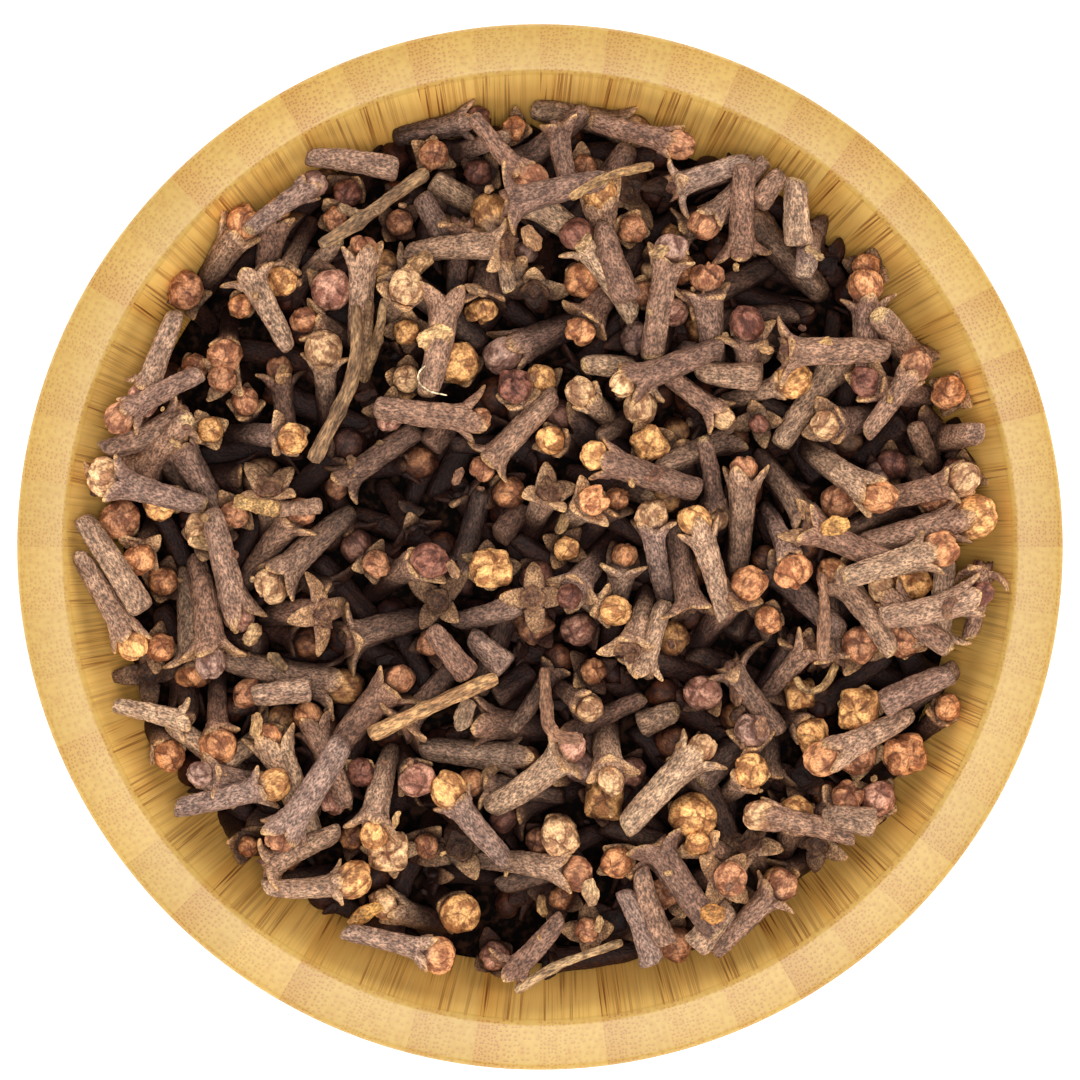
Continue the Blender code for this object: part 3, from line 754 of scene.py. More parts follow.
def near_pairs(points, radii, rod, margin):
    """The pairs of stations, of two different rods, that are closer than their radii and a margin."""
    flat = points.astype(np.float32)
    square = (flat**2).sum(1)
    apart = square[:, None] + square[None, :] - 2 * flat @ flat.T
    reach = (radii[:, None] + radii[None, :] + margin).astype(np.float32)
    first, second = np.nonzero(apart < reach**2)
    kept = (first < second) & (rod[first] != rod[second])
    return first[kept], second[kept]


def settle(rods, steps, drop):
    """Lets the rods sink into the bowl and come to rest on each other.

    In each step every end sinks by its pull times drop, straight down and a little towards the middle.
    Then, three times over, stations that overlap are pushed apart by half their overlap each, stations
    in the wall, in the core or over their rod's ceiling are pushed back, every rod is brought to its length,
    and each end is drawn towards its aim by its hold, a share of the way for x, y and z.
    """
    ends, count = rods.ends, len(rods.ends)
    rod = np.repeat(np.arange(count), len(STATIONS))
    share = np.stack((1 - STATIONS, STATIONS), axis=1)
    lever = share / (share**2).sum(1, keepdims=True)
    radii, ceiling = rods.radii.ravel(), np.repeat(rods.ceiling, len(STATIONS))
    slope = 0.3 * CORE_FALL / CORE_RADIUS**2
    for step in range(steps):
        inward = -slope * ends[..., :2]
        ends += np.concatenate((inward, -np.ones((count, 2, 1))), axis=-1) * rods.pull[..., None] * drop
        if step % 6 == 0:
            first, second = near_pairs(along_rods(ends, STATIONS).reshape(-1, 3), radii, rod, 2.0)
        for _ in range(3):
            points = along_rods(ends, STATIONS).reshape(-1, 3)
            apart = points[first] - points[second]
            gap = np.sqrt((apart**2).sum(1)) + 1e-6
            overlap = radii[first] + radii[second] - gap
            met = overlap > 0
            i, j = first[met], second[met]
            push = apart[met] / gap[met, None] * overlap[met, None] / 2
            size = len(points)
            move = np.stack([np.bincount(i, p, size) - np.bincount(j, p, size) for p in push.T], axis=1)
            hits = (np.bincount(i, minlength=size) + np.bincount(j, minlength=size)) > 0
            reach = np.hypot(points[:, 0], points[:, 1])
            outside = np.maximum(reach + radii + WALL_GAP - INNER_WALL.at(points[:, 2]), 0)
            move[:, :2] -= points[:, :2] * (outside / reach)[:, None]
            sunk = np.maximum(core_top(reach) + radii - points[:, 2], 0)
            high = np.maximum(points[:, 2] + radii - ceiling, 0)
            move[:, 2] += sunk - high
            hits |= (outside > 0) | (sunk > 0) | (high > 0)
            move = move.reshape(count, -1, 3)
            weight = hits.reshape(count, -1).astype(float)
            for end in (0, 1):
                total = (move * lever[:, end, None]).sum(1)
                ends[:, end] += 0.9 * total / np.maximum((weight * share[:, end]).sum(1), 1.0)[:, None]
            along = ends[:, 1] - ends[:, 0]
            now = np.sqrt((along**2).sum(1))
            fix = along * ((now - rods.lengths) / now / 2)[:, None]
            ends[:, 0] += fix
            ends[:, 1] -= fix
            ends += (rods.aims - ends) * rods.hold[:, None]


def new_rods(ends, lengths, form, bud, colours, bare=False):
    """Rods that nothing holds: each has its ends, length, thickness, ceiling, form, bud radius and colour."""
    count = len(ends)
    radii = np.full((count, len(STATIONS)), BARE_RADIUS) if bare else lengths[:, None] * STATION_RADII
    return SimpleNamespace(
        ends=ends,
        lengths=lengths,
        radii=radii,
        pull=np.ones((count, 2)),
        aims=ends.copy(),
        hold=np.zeros((count, 3)),
        ceiling=np.full(count, CEILING),
        form=np.array(form),
        bud=np.array(bud, float),
        colour=np.array([linear(BUD_COLOURS[name]) for name in colours]),
    )


def joined(groups):
    """Several groups of rods as one."""
    return SimpleNamespace(**{
        name: np.concatenate([getattr(group, name) for group in groups]) for name in vars(groups[0])
    })


def filler_rods(draw):
    """Cloves under the ones that show: they start above the core, in any heading, denser at the edge."""
    count = FILLERS
    lengths = draw.uniform(SHORTEST, LONGEST, count)
    radius, turn = 53.0 * draw.random(count) ** 0.45, draw.uniform(0, 2 * np.pi, count)
    middle = np.stack((radius * np.cos(turn), radius * np.sin(turn), np.linspace(48, 64, count)), axis=1)
    heading, rise = draw.uniform(0, 2 * np.pi, count), draw.normal(0, 0.22, count)
    along = np.stack((np.cos(heading) * np.cos(rise), np.sin(heading) * np.cos(rise), np.sin(rise)), axis=1)
    half = along * lengths[:, None] / 2
    form = draw.choice(("round", "square", "slim", "open"), count, p=(0.26, 0.10, 0.42, 0.22))
    colours = draw.choice(tuple(BUD_COLOURS), count, p=(0.14, 0.20, 0.12, 0.12, 0.22, 0.12, 0.08))
    ends = np.stack((middle - half, middle + half), axis=1)
    rods = new_rods(ends, lengths, form, draw.uniform(1.4, 2.2, count), colours)
    rods.ceiling[:] = FILLER_CEILING
    upright = draw.random(count) < FILLERS_UPRIGHT
    rods.pull[upright, 0] = 1.6
    rods.pull[upright, 1] = draw.uniform(-0.2, 0.6, upright.sum())
    return rods


def standing_rods(base, head, bud, form, colours, draw):
    """Cloves held in place by the others with the head up: head is the bud's middle, and base is below it."""
    count = len(head)
    lengths = draw.uniform(SHORTEST, 15.5, count)
    level = HEAD_LEVEL - HEAD_FALL * (np.hypot(*head.T) / CORE_RADIUS) ** 2 + draw.uniform(-2.4, 0.6, count)
    flat = (head - base) / BUD_PLACE
    reach = np.hypot(*flat.T)
    flat *= np.minimum(1, 0.85 * lengths / reach)[:, None]
    rise = np.sqrt(lengths**2 - (flat**2).sum(1))
    along = np.column_stack((flat, rise))
    middle = np.column_stack((head, level))
    ends = np.stack((middle - BUD_PLACE * along, middle + (1 - BUD_PLACE) * along), axis=1)
    rods = new_rods(ends, lengths, form, bud, colours)
    rods.hold[:] = 1.0
    return rods


def lying_rods(base, head, bud, form, colours, draw, bare=False):
    """Cloves that fall flat on the heap over the place where they are seen, and are drawn to it.

    The longer one looks, the less of it is hidden, so the later it falls. Those at the wall lean on it.
    """
    count = len(head)
    place = 1.0 if bare else BUD_PLACE
    flat = (head - base) / place
    reach = np.hypot(*flat.T)
    lengths = reach / np.cos(draw.uniform(0.05, 0.30, count))
    if not bare:
        lengths = np.clip(lengths, 12.0, 19.0)
    rise = np.sqrt(np.maximum(lengths**2 - reach**2, 0))
    fall = 68 + 16 * smooth(reach, 9.0, 15.0) + draw.uniform(0, 3, count)
    start = np.column_stack((base, fall))
    along = np.column_stack((flat, rise))
    rods = new_rods(np.stack((start, start + along), axis=1), lengths, form, bud, colours, bare)
    rods.hold[:, :2] = 0.30
    outer = np.maximum(np.hypot(*base.T), np.hypot(*head.T)) > EDGE_REACH
    rods.aims[outer, :, 2] = EDGE_LEVEL
    rods.hold[outer, 2] = 0.05
    return rods


def placed_rods(draw):
    """The cloves that the photo shows one by one: those that look short from above stand, the rest lie."""
    rows = np.array([row[:5] for row in LYING])
    form, colour = np.array([row[5] for row in LYING]), np.array([row[6] for row in LYING])
    steep = np.hypot(*(rows[:, 2:4] - rows[:, :2]).T) < STEEP_REACH
    groups = []
    for chosen, place in ((steep, standing_rods), (~steep, lying_rods)):
        part = rows[chosen]
        groups.append(place(part[:, :2], part[:, 2:4], part[:, 4], form[chosen], colour[chosen], draw))

    heads = np.array([row[:3] for row in HEADS])
    heading, lean = draw.uniform(0, 2 * np.pi, len(heads)), draw.uniform(1.5, 5.5, len(heads))
    base = heads[:, :2] - lean[:, None] * np.column_stack((np.cos(heading), np.sin(heading)))
    form, colour = [row[3] for row in HEADS], [row[4] for row in HEADS]
    groups.append(standing_rods(base, heads[:, :2], heads[:, 2], form, colour, draw))

    rows = np.array(OPEN)
    steep = np.hypot(*(rows[:, 2:] - rows[:, :2]).T) < STEEP_REACH
    for chosen, place in ((steep, standing_rods), (~steep, lying_rods)):
        part, count = rows[chosen], int(chosen.sum())
        colours = draw.choice(("tan", "brown", "dark"), count)
        groups.append(place(part[:, :2], part[:, 2:], np.full(count, 1.5), ["open"] * count, colours, draw))

    rows = np.array(BARE)
    count = len(rows)
    groups.append(lying_rods(
        rows[:, :2], rows[:, 2:], np.full(count, 1.5), ["bare"] * count, ["dark"] * count, draw, bare=True
    ))
    return groups


def seen_share(rods):
    """For each rod, the share of its stations that nothing above hides from straight overhead."""
    points = along_rods(rods.ends, STATIONS).reshape(-1, 3)
    radii = rods.radii.ravel()
    rod = np.repeat(np.arange(len(rods.ends)), len(STATIONS))
    apart = ((points[:, None, :2] - points[None, :, :2]) ** 2).sum(-1)
    over = (points[None, :, 2] > points[:, None, 2] + 0.5) & (rod[:, None] != rod[None, :])
    hidden = (over & (apart < (0.95 * radii[None, :]) ** 2)).any(axis=1)
    return 1 - hidden.reshape(len(rods.ends), -1).mean(axis=1)


# One clove's surfaces

def clove_frames(ends, draw):
    """For each rod, its own axes as rows: x and y across it, rolled at random, and z from base to crown."""
    z = ends[:, 1] - ends[:, 0]
    z /= np.linalg.norm(z, axis=1, keepdims=True)
    helper = np.where(np.abs(z[:, 2:]) < 0.9, (0.0, 0.0, 1.0), (1.0, 0.0, 0.0))
    x = np.cross(helper, z)
    x /= np.linalg.norm(x, axis=1, keepdims=True)
    y = np.cross(z, x)
    roll = draw.uniform(0, 2 * np.pi, len(ends))[:, None]
    return np.stack((np.cos(roll) * x + np.sin(roll) * y, np.cos(roll) * y - np.sin(roll) * x, z), axis=1)


def picked(colours, count, draw):
    """A linear colour for each clove, between two neighbours of a list of hex colours."""
    palette = np.array([linear(colour) for colour in colours])
    first, second = draw.integers(0, len(palette), (2, count))
    return mixed(palette[first], palette[second], draw.random((count, 1)) * 0.5)


def drawn_cloves(rods, chosen, draw):
    """What differs from clove to clove: its sizes, bends, colours and the phases of its wrinkles."""
    count = int(chosen.sum())

    def between(low, high):
        return draw.uniform(low, high, count)[:, None, None]

    ends = rods.ends[chosen]
    bare = (rods.form[chosen] == "bare")[:, None, None]
    length = rods.lengths[chosen][:, None, None]
    girth = np.where(bare, 15.5, length)
    colour = rods.colour[chosen] * draw.uniform(0.84, 1.12, (count, 1))
    return SimpleNamespace(
        count=count,
        origin=ends[:, 0],
        axes=clove_frames(ends, draw),
        length=length,
        stem=length * np.where(bare, 1.0, NECK_PLACE),
        flare=np.where(bare, 0.05, 0.30),
        base=girth * between(0.064, 0.086),
        neck=girth * between(0.094, 0.112),
        bend=length * between(-0.06, 0.06),
        square=between(0.02, 0.09),
        bud=rods.bud[chosen][:, None, None],
        tall=between(0.90, 1.12),
        oval=between(0.0, 0.07),
        lumpy=between(0.07, 0.22),
        spread=between(0.25, 0.62),
        curl=between(-0.25, 0.75),
        sepal=girth * between(0.150, 0.190),
        cut=between(0.0, 1.0) ** 3,
        phase=draw.uniform(0, 2 * np.pi, (8, count, 1, 1)),
        stem_colour=picked(STEM_COLOURS, count, draw)[:, None, None, :],
        bud_colour=colour[:, None, None, :],
        offset=draw.uniform(0, 500, (count, 1, 1, 3)),
    )


def in_bowl(cloves, local):
    """Points of each clove's own frame as points in the bowl."""
    flat = local.reshape(cloves.count, -1, 3)
    moved = np.einsum("cni,cij->cnj", flat, cloves.axes) + cloves.origin[:, None, :]
    return moved.reshape(local.shape)


def bent(cloves, local):
    """Local points moved sideways so that the clove's middle line is a shallow arc."""
    share = local[..., 2] / cloves.length
    out = local.copy()
    out[..., 0] += cloves.bend * 4 * share * (1 - share)
    return out


def wrinkle(cloves, share, turn):
    """Long furrows, cross wrinkles and pits as a sum of waves round and along a clove, about -1 to 1."""
    p = cloves.phase
    broken = 0.6 + 0.4 * np.sin(17 * share + 2 * turn + p[6])
    return (
        0.24 * np.sin(3 * turn + 3.1 * share + p[0])
        + 0.26 * np.sin(5 * turn - 4.0 * share + p[1])
        + 0.30 * broken * np.sin(8 * turn + 5.0 * np.sin(3 * share + p[2]) + p[3])
        + 0.20 * np.sin(19 * share + 1.8 * np.sin(turn + p[4]))
        + 0.30 * np.sin(41 * share + 4 * turn + p[5]) * np.sin(29 * share - 3 * turn + p[7])
    )


def stem_surface(cloves, rings, sides):
    """The stem: it swells from a blunt base and flares to the calyx; nearly round, with furrows and pits.

    Its radius is a smooth rise from base to neck, plus STEM_RELIEF times the wrinkles, closed at both ends.
    """
    share = np.concatenate(([0, 0, 0.018], np.linspace(0.05, 0.95, rings - 6), [0.985, 1, 1]))[None, :, None]
    turn = (2 * np.pi * np.arange(sides) / sides)[None, None, :]
    swell = 0.45 * smooth(share, 0.0, 0.22) + 0.55 * smooth(share, 0.15, 0.95)
    radius = mixed(cloves.base, cloves.neck, swell) * (1 + cloves.flare * smooth(share, 0.80, 1.0))
    radius = radius * (1 + cloves.square * np.cos(4 * turn))
    lines = wrinkle(cloves, share, turn)
    closing = np.ones(rings)
    closing[[0, -1]] = 0
    closing[[1, -2]] = 0.52
    closing[[2, -3]] = 0.84
    closing[[3, -4]] = 0.97
    radius = (radius + STEM_RELIEF * lines) * closing[None, :, None]
    slant = 0.5 * np.sin(cloves.phase[6]) * (1 - smooth(share, 0.0, 0.25))
    z = share * cloves.stem + slant * radius * np.cos(turn)
    local = np.stack((radius * np.cos(turn), radius * np.sin(turn), z), axis=-1)
    darker = 0.84 + 0.16 * smooth(share, 0.0, 0.4)
    # Lighter on the wrinkles' ridges and darker in their furrows: partly the skin's own colour, partly
    # painted shade
    skin = cloves.stem_colour * (darker * (1 + 0.42 * lines))[..., None]
    pale = cloves.cut * (1 - smooth(share, 0.0, 0.03))
    return local, mixed(skin, linear(CUT_COLOUR), pale[..., None])


def sepal_surface(cloves, index, rings, sides):
    """One sepal: a thick pointed tongue that leaves the neck, spreads and curls, cupped towards the bud.

    It is an ellipse carried along an arc. The ellipse narrows to the tip and is lifted by a parabola.
    """
    share = np.concatenate(([0, 0.04], np.linspace(0.12, 0.93, rings - 4), [0.985, 1]))[None, :, None]
    turn = (2 * np.pi * np.arange(sides) / sides)[None, None, :]
    spread = cloves.spread * (1 + 0.35 * np.sin(cloves.phase[index] * 3))
    bend = 0.6 * spread + cloves.curl
    size = cloves.sepal * (1 + 0.22 * np.sin(cloves.phase[index + 2]))
    middle = spread + bend * share / 2
    out = 0.92 * cloves.neck + size * share * np.sin(middle)
    up = cloves.stem - 0.06 * cloves.length + size * share * np.cos(middle)
    lean = spread + bend * share
    half_width = 0.92 * cloves.neck * np.clip(1 - share**2.1, 0, 1) ** 0.66
    half_depth = SEPAL_THICKNESS / 2 * (1 - 0.45 * share) * np.clip(1 - share**8, 0, 1) ** 0.5
    closing = np.ones(rings)
    closing[[0, -1]] = 0
    half_width, half_depth = half_width * closing[None, :, None], half_depth * closing[None, :, None]
    across = half_width * np.cos(turn)
    cup = 0.34 * (across / cloves.neck) ** 2 * cloves.neck
    rough = 0.12 * np.sin(9 * share + 3 * turn + cloves.phase[index + 3])
    through = half_depth * np.sin(turn) * (1 + rough) + cup
    across = across + 0.35 * share**2 * np.sin(cloves.phase[index + 4])
    radial = out - through * np.cos(lean)
    height = up + through * np.sin(lean)
    side = np.pi / 2 * index + 0.14 * np.sin(cloves.phase[index + 1])
    local = np.stack((
        radial * np.cos(side) - across * np.sin(side),
        radial * np.sin(side) + across * np.cos(side),
        height + 0 * across,
    ), axis=-1)
    edge = 0.7 * smooth(np.abs(np.cos(turn)), 0.80, 1.0) * smooth(share, 0.25, 0.7)
    edge = np.maximum(edge, 0.85 * smooth(share, 0.80, 1.0))
    inner = 0.40 * smooth(np.sin(turn), 0.0, 0.8)
    base = cloves.stem_colour * (1.10 + 0.9 * rough[..., None])
    tint = mixed(base, linear(SEPAL_EDGE_COLOUR), np.maximum(edge, inner)[..., None])
    return local, tint


def dish_surface(cloves, rings, sides):
    """The floor of an open calyx: a shallow dish between the sepals with the style's stub in its middle.

    The dish rises with the fourth power of the radius, and the stub is a bell curve.
    """
    polar = np.linspace(0, np.pi, rings)[None, :, None]
    turn = (2 * np.pi * np.arange(sides) / sides)[None, None, :]
    lumps = wrinkle(cloves, polar / np.pi, turn)
    radius = 1.05 * cloves.neck * np.sin(polar) ** 0.6 * (1 + 0.13 * np.cos(4 * turn) + 0.05 * lumps)
    upper = smooth(polar, np.pi / 2 - 0.1, np.pi / 2 + 0.1)
    near = radius / cloves.neck
    stub = 0.9 * np.exp(-((near / 0.22) ** 2)) * upper
    wall = (0.55 * near**4 + 0.12 * lumps) * upper
    z = cloves.stem - 0.30 * (1 - upper) + stub + wall
    local = np.stack((radius * np.cos(turn), radius * np.sin(turn), z), axis=-1)
    ring = smooth(near, 0.60, 0.85) * (1 - smooth(near, 0.90, 1.08)) + 0.6 * smooth(stub, 0.2, 0.8)
    skin = mixed(linear(DISH_COLOUR), linear(SEPAL_EDGE_COLOUR), 0.30 * ring[..., None])
    return local, skin * (1 + 0.4 * lumps[..., None]) + 0 * local


def bud_surface(cloves, rings, sides, squareness, height, fold):
    """The bud: four petals wrapped over each other in a ball, with a step and a groove where they overlap.

    The seams run from between the sepals to the crown and wind a little on the way. Squareness turns the
    round section into a square one, height is how tall the ball is for its width, and fold how deep the
    seams are. The ball sinks between the sepals. Its last value is the crown place, the corner's place on a
    ball of radius 1 that is turned so that the seams lie on its x and y axes.
    """
    polar = np.linspace(0, np.pi, rings)[None, :, None]
    turn = (2 * np.pi * np.arange(sides) / sides)[None, None, :]
    upward = smooth(polar, 0.9, 1.7)
    winding = turn + np.pi / 4 + 0.7 * (polar - 1.6) + 0.5 * np.sin(cloves.phase[7])
    petal = winding * 2 / np.pi - np.floor(winding * 2 / np.pi)
    groove = np.exp(-((np.minimum(petal, 1 - petal) / 0.11) ** 2))
    step = petal - 0.5
    corner = (np.abs(np.cos(turn)) ** 6 + np.abs(np.sin(turn)) ** 6) ** (-1 / 6)
    lumps = wrinkle(cloves, polar / np.pi, turn)
    creased = fold * upward * (step - 0.7 * groove)
    pressed = cloves.oval * np.cos(2 * turn + cloves.phase[0])
    radius = cloves.bud * (1 + creased + pressed + squareness * (corner - 1) * upward)
    radius = radius + cloves.lumpy * lumps
    crown = smooth(polar, 2.5, np.pi)
    flat = radius * np.sin(polar)
    middle = cloves.stem + BUD_SEAT * cloves.bud
    z = middle - radius * np.cos(polar) * height * cloves.tall * (1 - 0.12 * crown)
    local = np.stack((flat * np.cos(turn), flat * np.sin(turn), z), axis=-1)
    # Painted light and shade, in part: the tint is lighter on the lumps, lighter and darker across each
    # petal's step and darker in the seams' grooves
    wear_and_shade = 1 + 0.30 * lumps + upward * ((0.16 + fold) * step - (0.10 + fold) * groove)
    # By the sepals the bud turns to a darker stem colour: partly its own colour, partly painted shade
    low = smooth(polar, 0.7, 1.4)
    base = cloves.stem_colour * 0.8
    tint = mixed(base, cloves.bud_colour, low[..., None]) * wear_and_shade[..., None]
    x, y = np.sin(polar) * np.cos(winding), np.sin(polar) * np.sin(winding)
    return local, tint, np.stack((x, y, 0 * winding - np.cos(polar)), axis=-1)


def add_part(shells, cloves, surface, bud):
    """Adds one part of every clove, bent and moved into the bowl; the deeper it lies, the darker the painted
    shade on it.
    """
    local, tint, *crown = surface
    local = bent(cloves, local)
    points = in_bowl(cloves, local)
    tint = np.clip(tint, 0.006, 0.95) * painted_depth_shade(points)
    shells.add(points, tint, local + cloves.offset, bud, crown[0] if crown else NO_CROWN)


def painted_depth_shade(points):
    """Painted shade: the colour that a tint is multiplied by, 1 near the heap's top and a deep red brown far
    under it.
    """
    reach2 = (points[..., :2] ** 2).sum(-1, keepdims=True)
    depth = HEAP_TOP - HEAP_FALL * reach2 / CORE_RADIUS**2 - points[..., 2:]
    return mixed(1.0, np.array(DEEP_SHADE_TINT), smooth(depth, DEEP_START, DEEP_END))


def add_cloves(shells, cloves, detail, squareness=0.0, height=1.0, fold=0.05, calyx=True, headed=True):
    """Adds cloves. Detail is the number of sides of a stem, and the other grids follow from it."""
    add_part(shells, cloves, stem_surface(cloves, detail * 3 // 2, detail), 0.0)
    if not calyx:
        return
    for index in range(4):
        add_part(shells, cloves, sepal_surface(cloves, index, max(detail // 2, 6), max(detail // 2, 6)), 0.25)
    if headed:
        rings, sides = detail * 3 // 4, detail * 5 // 4
        add_part(shells, cloves, bud_surface(cloves, rings, sides, squareness, height, fold), 1.0)
    else:
        add_part(shells, cloves, dish_surface(cloves, max(detail // 2, 7), detail), 0.5)


def make_cloves(rods, material, draw):
    """All cloves, one piece for each kind, with the hidden ones coarser."""
    seen = seen_share(rods) > SEEN_LEAST
    kinds = {
        "round_headed_cloves": (seen & (rods.form == "round"), 15, dict(squareness=0.10, fold=0.08)),
        "square_headed_cloves": (
            seen & (rods.form == "square"), 24, dict(squareness=0.80, height=0.86, fold=0.15)
        ),
        "slim_cloves": (seen & (rods.form == "slim"), 16, dict(squareness=0.25, fold=0.09)),
        "open_cloves": (seen & (rods.form == "open"), 20, dict(headed=False)),
        "bare_stems": (seen & (rods.form == "bare"), 22, dict(calyx=False)),
        "buried_cloves": (~seen & (rods.form != "bare"), 9, dict(squareness=0.2)),
    }
    for name, (chosen, detail, form) in kinds.items():
        shells = Shells()
        cloves = drawn_cloves(rods, chosen, draw)
        if name == "open_cloves":
            cloves.spread = cloves.spread * 1.9
            cloves.sepal = cloves.sepal * 1.30
        add_cloves(shells, cloves, detail, **form)
        shells.make(name, material)


# What lies loose on the heap: stalks, broken bits, sepals and a hair

def support(flat, radius, rods):
    """How high the middle of a ball of this radius rests, above each place, on the cloves or the core."""
    shares = np.linspace(0.04, 0.94, 19)
    points = along_rods(rods.ends, shares).reshape(-1, 3)
    radii = np.array([np.interp(shares, STATIONS, row) for row in rods.radii]).ravel() + radius
    gap2 = ((flat[:, None] - points[None, :, :2]) ** 2).sum(-1)
    over = np.where(gap2 < radii**2, points[:, 2] + np.sqrt(np.maximum(radii**2 - gap2, 0)), 0)
    return np.maximum(over.max(axis=1), core_top(np.hypot(*flat.T)) + radius)


def lowest_line(along, heights):
    """The straight line over all these heights that is lowest at the middle, as a height at each place."""
    first, second = np.triu_indices(len(along), 1)
    slope = (heights[second] - heights[first]) / (along[second] - along[first])
    lines = heights[first][:, None] + slope[:, None] * (along[None, :] - along[first][:, None])
    clear = (lines > heights - 1e-6).all(axis=1)
    middle = np.where(clear, lines[:, len(along) // 2], np.inf)
    return lines[np.argmin(middle)]


def smooth_path(corners, count):
    """Evenly spaced points along a path through these corners, with its bends rounded by a running mean."""
    corners = np.array(corners)
    reach = np.concatenate(([0], np.cumsum(np.hypot(*np.diff(corners, axis=0).T))))
    places = reach[-1] * np.concatenate(([0], np.linspace(0.01, 0.99, count - 2), [1]))
    path = np.column_stack([np.interp(places, reach, corners[:, axis]) for axis in (0, 1)])
    window = 5
    padded = np.concatenate((np.repeat(path[:1], window, axis=0), path, np.repeat(path[-1:], window, axis=0)))
    kernel = np.ones(2 * window + 1) / (2 * window + 1)
    rounded = np.column_stack([np.convolve(padded[:, axis], kernel, "valid") for axis in (0, 1)])
    ends_kept = smooth(np.minimum(np.arange(count), np.arange(count)[::-1]), 0, window + 1)[:, None]
    return mixed(path, rounded, ends_kept), places


def stalk_surface(path, start, end, sides, draw):
    """A stalk: a tube along a path, with a joint, furrows and blunt ends.

    Its radius goes from start to end, times a bell curve at the joint and sine waves along and round it.
    """
    count = len(path)
    share = np.linspace(0, 1, count)[:, None]
    turn = (2 * np.pi * np.arange(sides) / sides)[None, :]
    phase = draw.uniform(0, 2 * np.pi, 4)
    forward = np.gradient(path, axis=0)
    forward /= np.linalg.norm(forward, axis=1, keepdims=True)
    side = np.cross(forward, (0.0, 0.0, 1.0))
    side /= np.linalg.norm(side, axis=1, keepdims=True)
    over = np.cross(side, forward)
    joint = np.exp(-(((share - draw.uniform(0.3, 0.7)) / 0.035) ** 2))
    lines = 0.5 * np.sin(5 * turn + 4 * share + phase[0]) + 0.5 * np.sin(31 * share + 3 * turn + phase[1])
    uneven = 1 + 0.22 * joint + 0.09 * lines + 0.08 * np.sin(9 * share + phase[2])
    radius = mixed(start, end, share) * uneven
    closing = np.ones((count, 1))
    closing[[0, -1]] = 0
    closing[[1, -2]] = 0.80
    radius = radius * closing
    offset = side[:, None] * np.cos(turn)[..., None] + over[:, None] * np.sin(turn)[..., None]
    points = path[:, None] + offset * radius[..., None]
    local = np.stack((radius * np.cos(turn), radius * np.sin(turn), 0 * turn + share * count * 0.3), axis=-1)
    # Lighter on the ridges and darker in the furrows, partly its own colour and partly painted shade, and
    # darker at the joint
    wear_and_shade = 1 + 0.30 * lines - 0.25 * joint
    return points[None], local[None] + draw.uniform(0, 500, 3), wear_and_shade[None, ..., None]


def make_stalks(rods, material, draw):
    """The stalks and the hair, each a tube that rests on the cloves where the photo shows it."""
    shells = Shells()
    for start, end, colour, corners in STALKS:
        flat, places = smooth_path(corners, 30)
        height = lowest_line(places, support(flat, max(start, end), rods))
        path = np.column_stack((flat, np.minimum(height, LOOSE_TOP - max(start, end))))
        points, local, wear_and_shade = stalk_surface(path, start, end, 12, draw)
        shells.add(points, np.clip(linear(colour) * wear_and_shade, 0.006, 0.95), local, 0.3, NO_CROWN)
    shells.make("stalks", material)


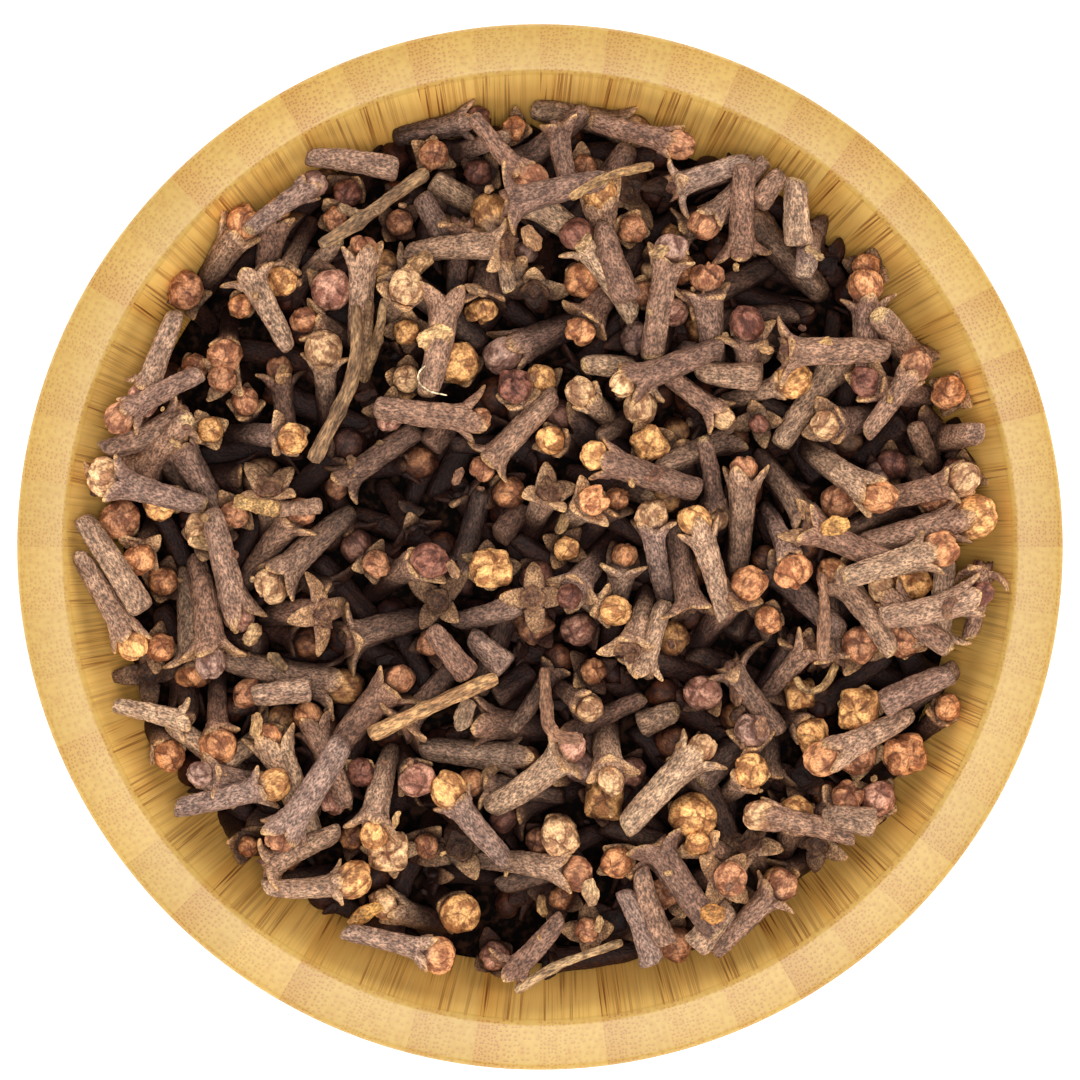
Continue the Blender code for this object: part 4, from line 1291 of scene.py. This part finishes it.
def make_scraps(rods, material, draw):
    """Broken bits, fallen sepals and crumbs: lumpy ellipsoids, of which the thin ones are bent like a tongue.

    A scrap's height is its own bend times the square of the place along it, added to the ellipsoid.
    """
    rows = np.array([row[:7] for row in SCRAPS])
    colours = np.array([linear(row[7]) for row in SCRAPS])
    count = FALLEN_SEPALS + CRUMBS
    reach, bearing = 50 * np.sqrt(draw.random(count)), draw.uniform(0, 2 * np.pi, count)
    sepal = np.arange(count) < FALLEN_SEPALS
    half = np.where(sepal, draw.uniform(0.9, 1.6, count), draw.uniform(0.22, 0.60, count))
    drawn = np.column_stack((
        reach * np.cos(bearing),
        reach * np.sin(bearing),
        half,
        half * np.where(sepal, draw.uniform(0.45, 0.65, count), draw.uniform(0.6, 0.9, count)),
        np.where(sepal, draw.uniform(0.20, 0.34, count), half * 0.6),
        draw.uniform(0, 360, count),
        np.where(sepal, draw.uniform(0.10, 0.30, count), 0.0),
    ))
    rows = np.concatenate((rows, drawn))
    colours = np.concatenate((colours, picked(SCRAP_COLOURS, count, draw)))
    total = len(rows)
    x, y, length, width, depth, heading, bend = (column[:, None, None] for column in rows.T)
    polar = np.linspace(0, np.pi, 9)[None, :, None]
    turn = (2 * np.pi * np.arange(12) / 12)[None, None, :]
    phase = draw.uniform(0, 2 * np.pi, (3, total, 1, 1))
    lumps = np.sin(3 * turn + 4 * polar + phase[0]) + np.sin(5 * polar - 2 * turn + phase[1])
    swell = 1 + 0.10 * lumps
    along = -length * np.cos(polar) * (1 + 0.05 * lumps)
    across = width * np.sin(polar) ** 0.8 * np.cos(turn) * swell
    through = depth * np.sin(polar) ** 0.8 * np.sin(turn) * swell + bend * along**2
    rolled = 0.5 * np.sin(phase[2])
    spin = np.radians(heading)
    side = across * np.cos(rolled) - through * np.sin(rolled)
    up = across * np.sin(rolled) + through * np.cos(rolled)
    rest = support(rows[:, :2], 0.25, rods)[:, None, None] - 0.25 + depth * 0.8
    rest = np.minimum(rest, LOOSE_TOP - 2.0)
    points = np.stack((
        x + along * np.cos(spin) - side * np.sin(spin),
        y + along * np.sin(spin) + side * np.cos(spin),
        rest + up,
    ), axis=-1)
    local = np.stack((across, through, along + 0 * across), axis=-1)
    edge = smooth(np.abs(np.cos(turn)), 0.8, 1.0) * (bend > 0)
    tint = colours[:, None, None] * (1 + 0.16 * lumps + 0.35 * edge)[..., None]
    shells = Shells()
    offset = draw.uniform(0, 500, (total, 1, 1, 3))
    # The deeper a scrap lies, the darker the painted shade on it
    shells.add(points, np.clip(tint, 0.006, 0.95) * painted_depth_shade(points), local + offset, 0.45, NO_CROWN)
    shells.make("broken_bits", material)


# The studio

def make_studio():
    """A white floor, a soft lamp nearly overhead, light from all round and the camera straight above.

    The light from all round comes from low down and fades overhead, so it reaches the hollow's wall and the
    sides of the cloves, and the gaps stay dark.
    """
    size, low = FLOOR_SIZE, -FLOOR_DROP
    corners = np.array([(-size, -size, low), (size, -size, low), (size, size, low), (-size, size, low)])
    floor = make_mesh("floor", corners, np.array([[0, 1, 2, 3]]), np.empty((0, 3), int), paper_material())
    light = bpy.data.lights.new("softbox", "AREA")
    light.size = LIGHT_SIZE
    light.energy = LIGHT_POWER
    lamp = bpy.data.objects.new("softbox", light)
    lamp.location = LIGHT_PLACE
    x, y, z = np.array((0, 0, BOWL_HEIGHT * MM)) - np.array(LIGHT_PLACE)
    lamp.rotation_euler = (math.atan2(math.hypot(x, y), -z), 0, math.atan2(x, -y) + math.pi)
    scene = bpy.context.scene
    scene.collection.objects.link(lamp)
    world = bpy.data.worlds.new("studio")
    world.use_nodes = True
    sky = world.node_tree.nodes["Background"]
    node = partial(add_node, world.node_tree)
    rise = node("SeparateXYZ", {0: node("TexCoord")}, out=2)
    strength = node("MapRange", {0: rise, 3: SKY_LOW, 4: SKY_HIGH})
    world.node_tree.links.new(strength, sky.inputs["Strength"])
    sky.inputs["Color"].default_value = (1, 1, 1, 1)
    scene.world = world
    scene.view_settings.view_transform = "Standard"
    camera = bpy.data.cameras.new("camera")
    camera.sensor_width = 36
    camera.lens = 36 * (CAMERA_HEIGHT - BOWL_HEIGHT) / FRAME_WIDTH
    seat = bpy.data.objects.new("camera", camera)
    seat.location = (0, CAMERA_SHIFT * MM, CAMERA_HEIGHT * MM)
    scene.collection.objects.link(seat)
    scene.camera = seat


def main():
    """Makes the bowl, lets the heap settle, dresses its rods as cloves, and sets up the studio."""
    draw = np.random.default_rng(SEED)
    make_bowl(bamboo_material())
    make_core(deep_shade_material())
    rods = joined([filler_rods(draw), *placed_rods(draw)])
    settle(rods, 200, 0.3)
    settle(rods, 50, 0.05)
    skin = clove_material()
    make_cloves(rods, skin, draw)
    make_stalks(rods, skin, draw)
    make_scraps(rods, skin, draw)
    make_studio()


main()
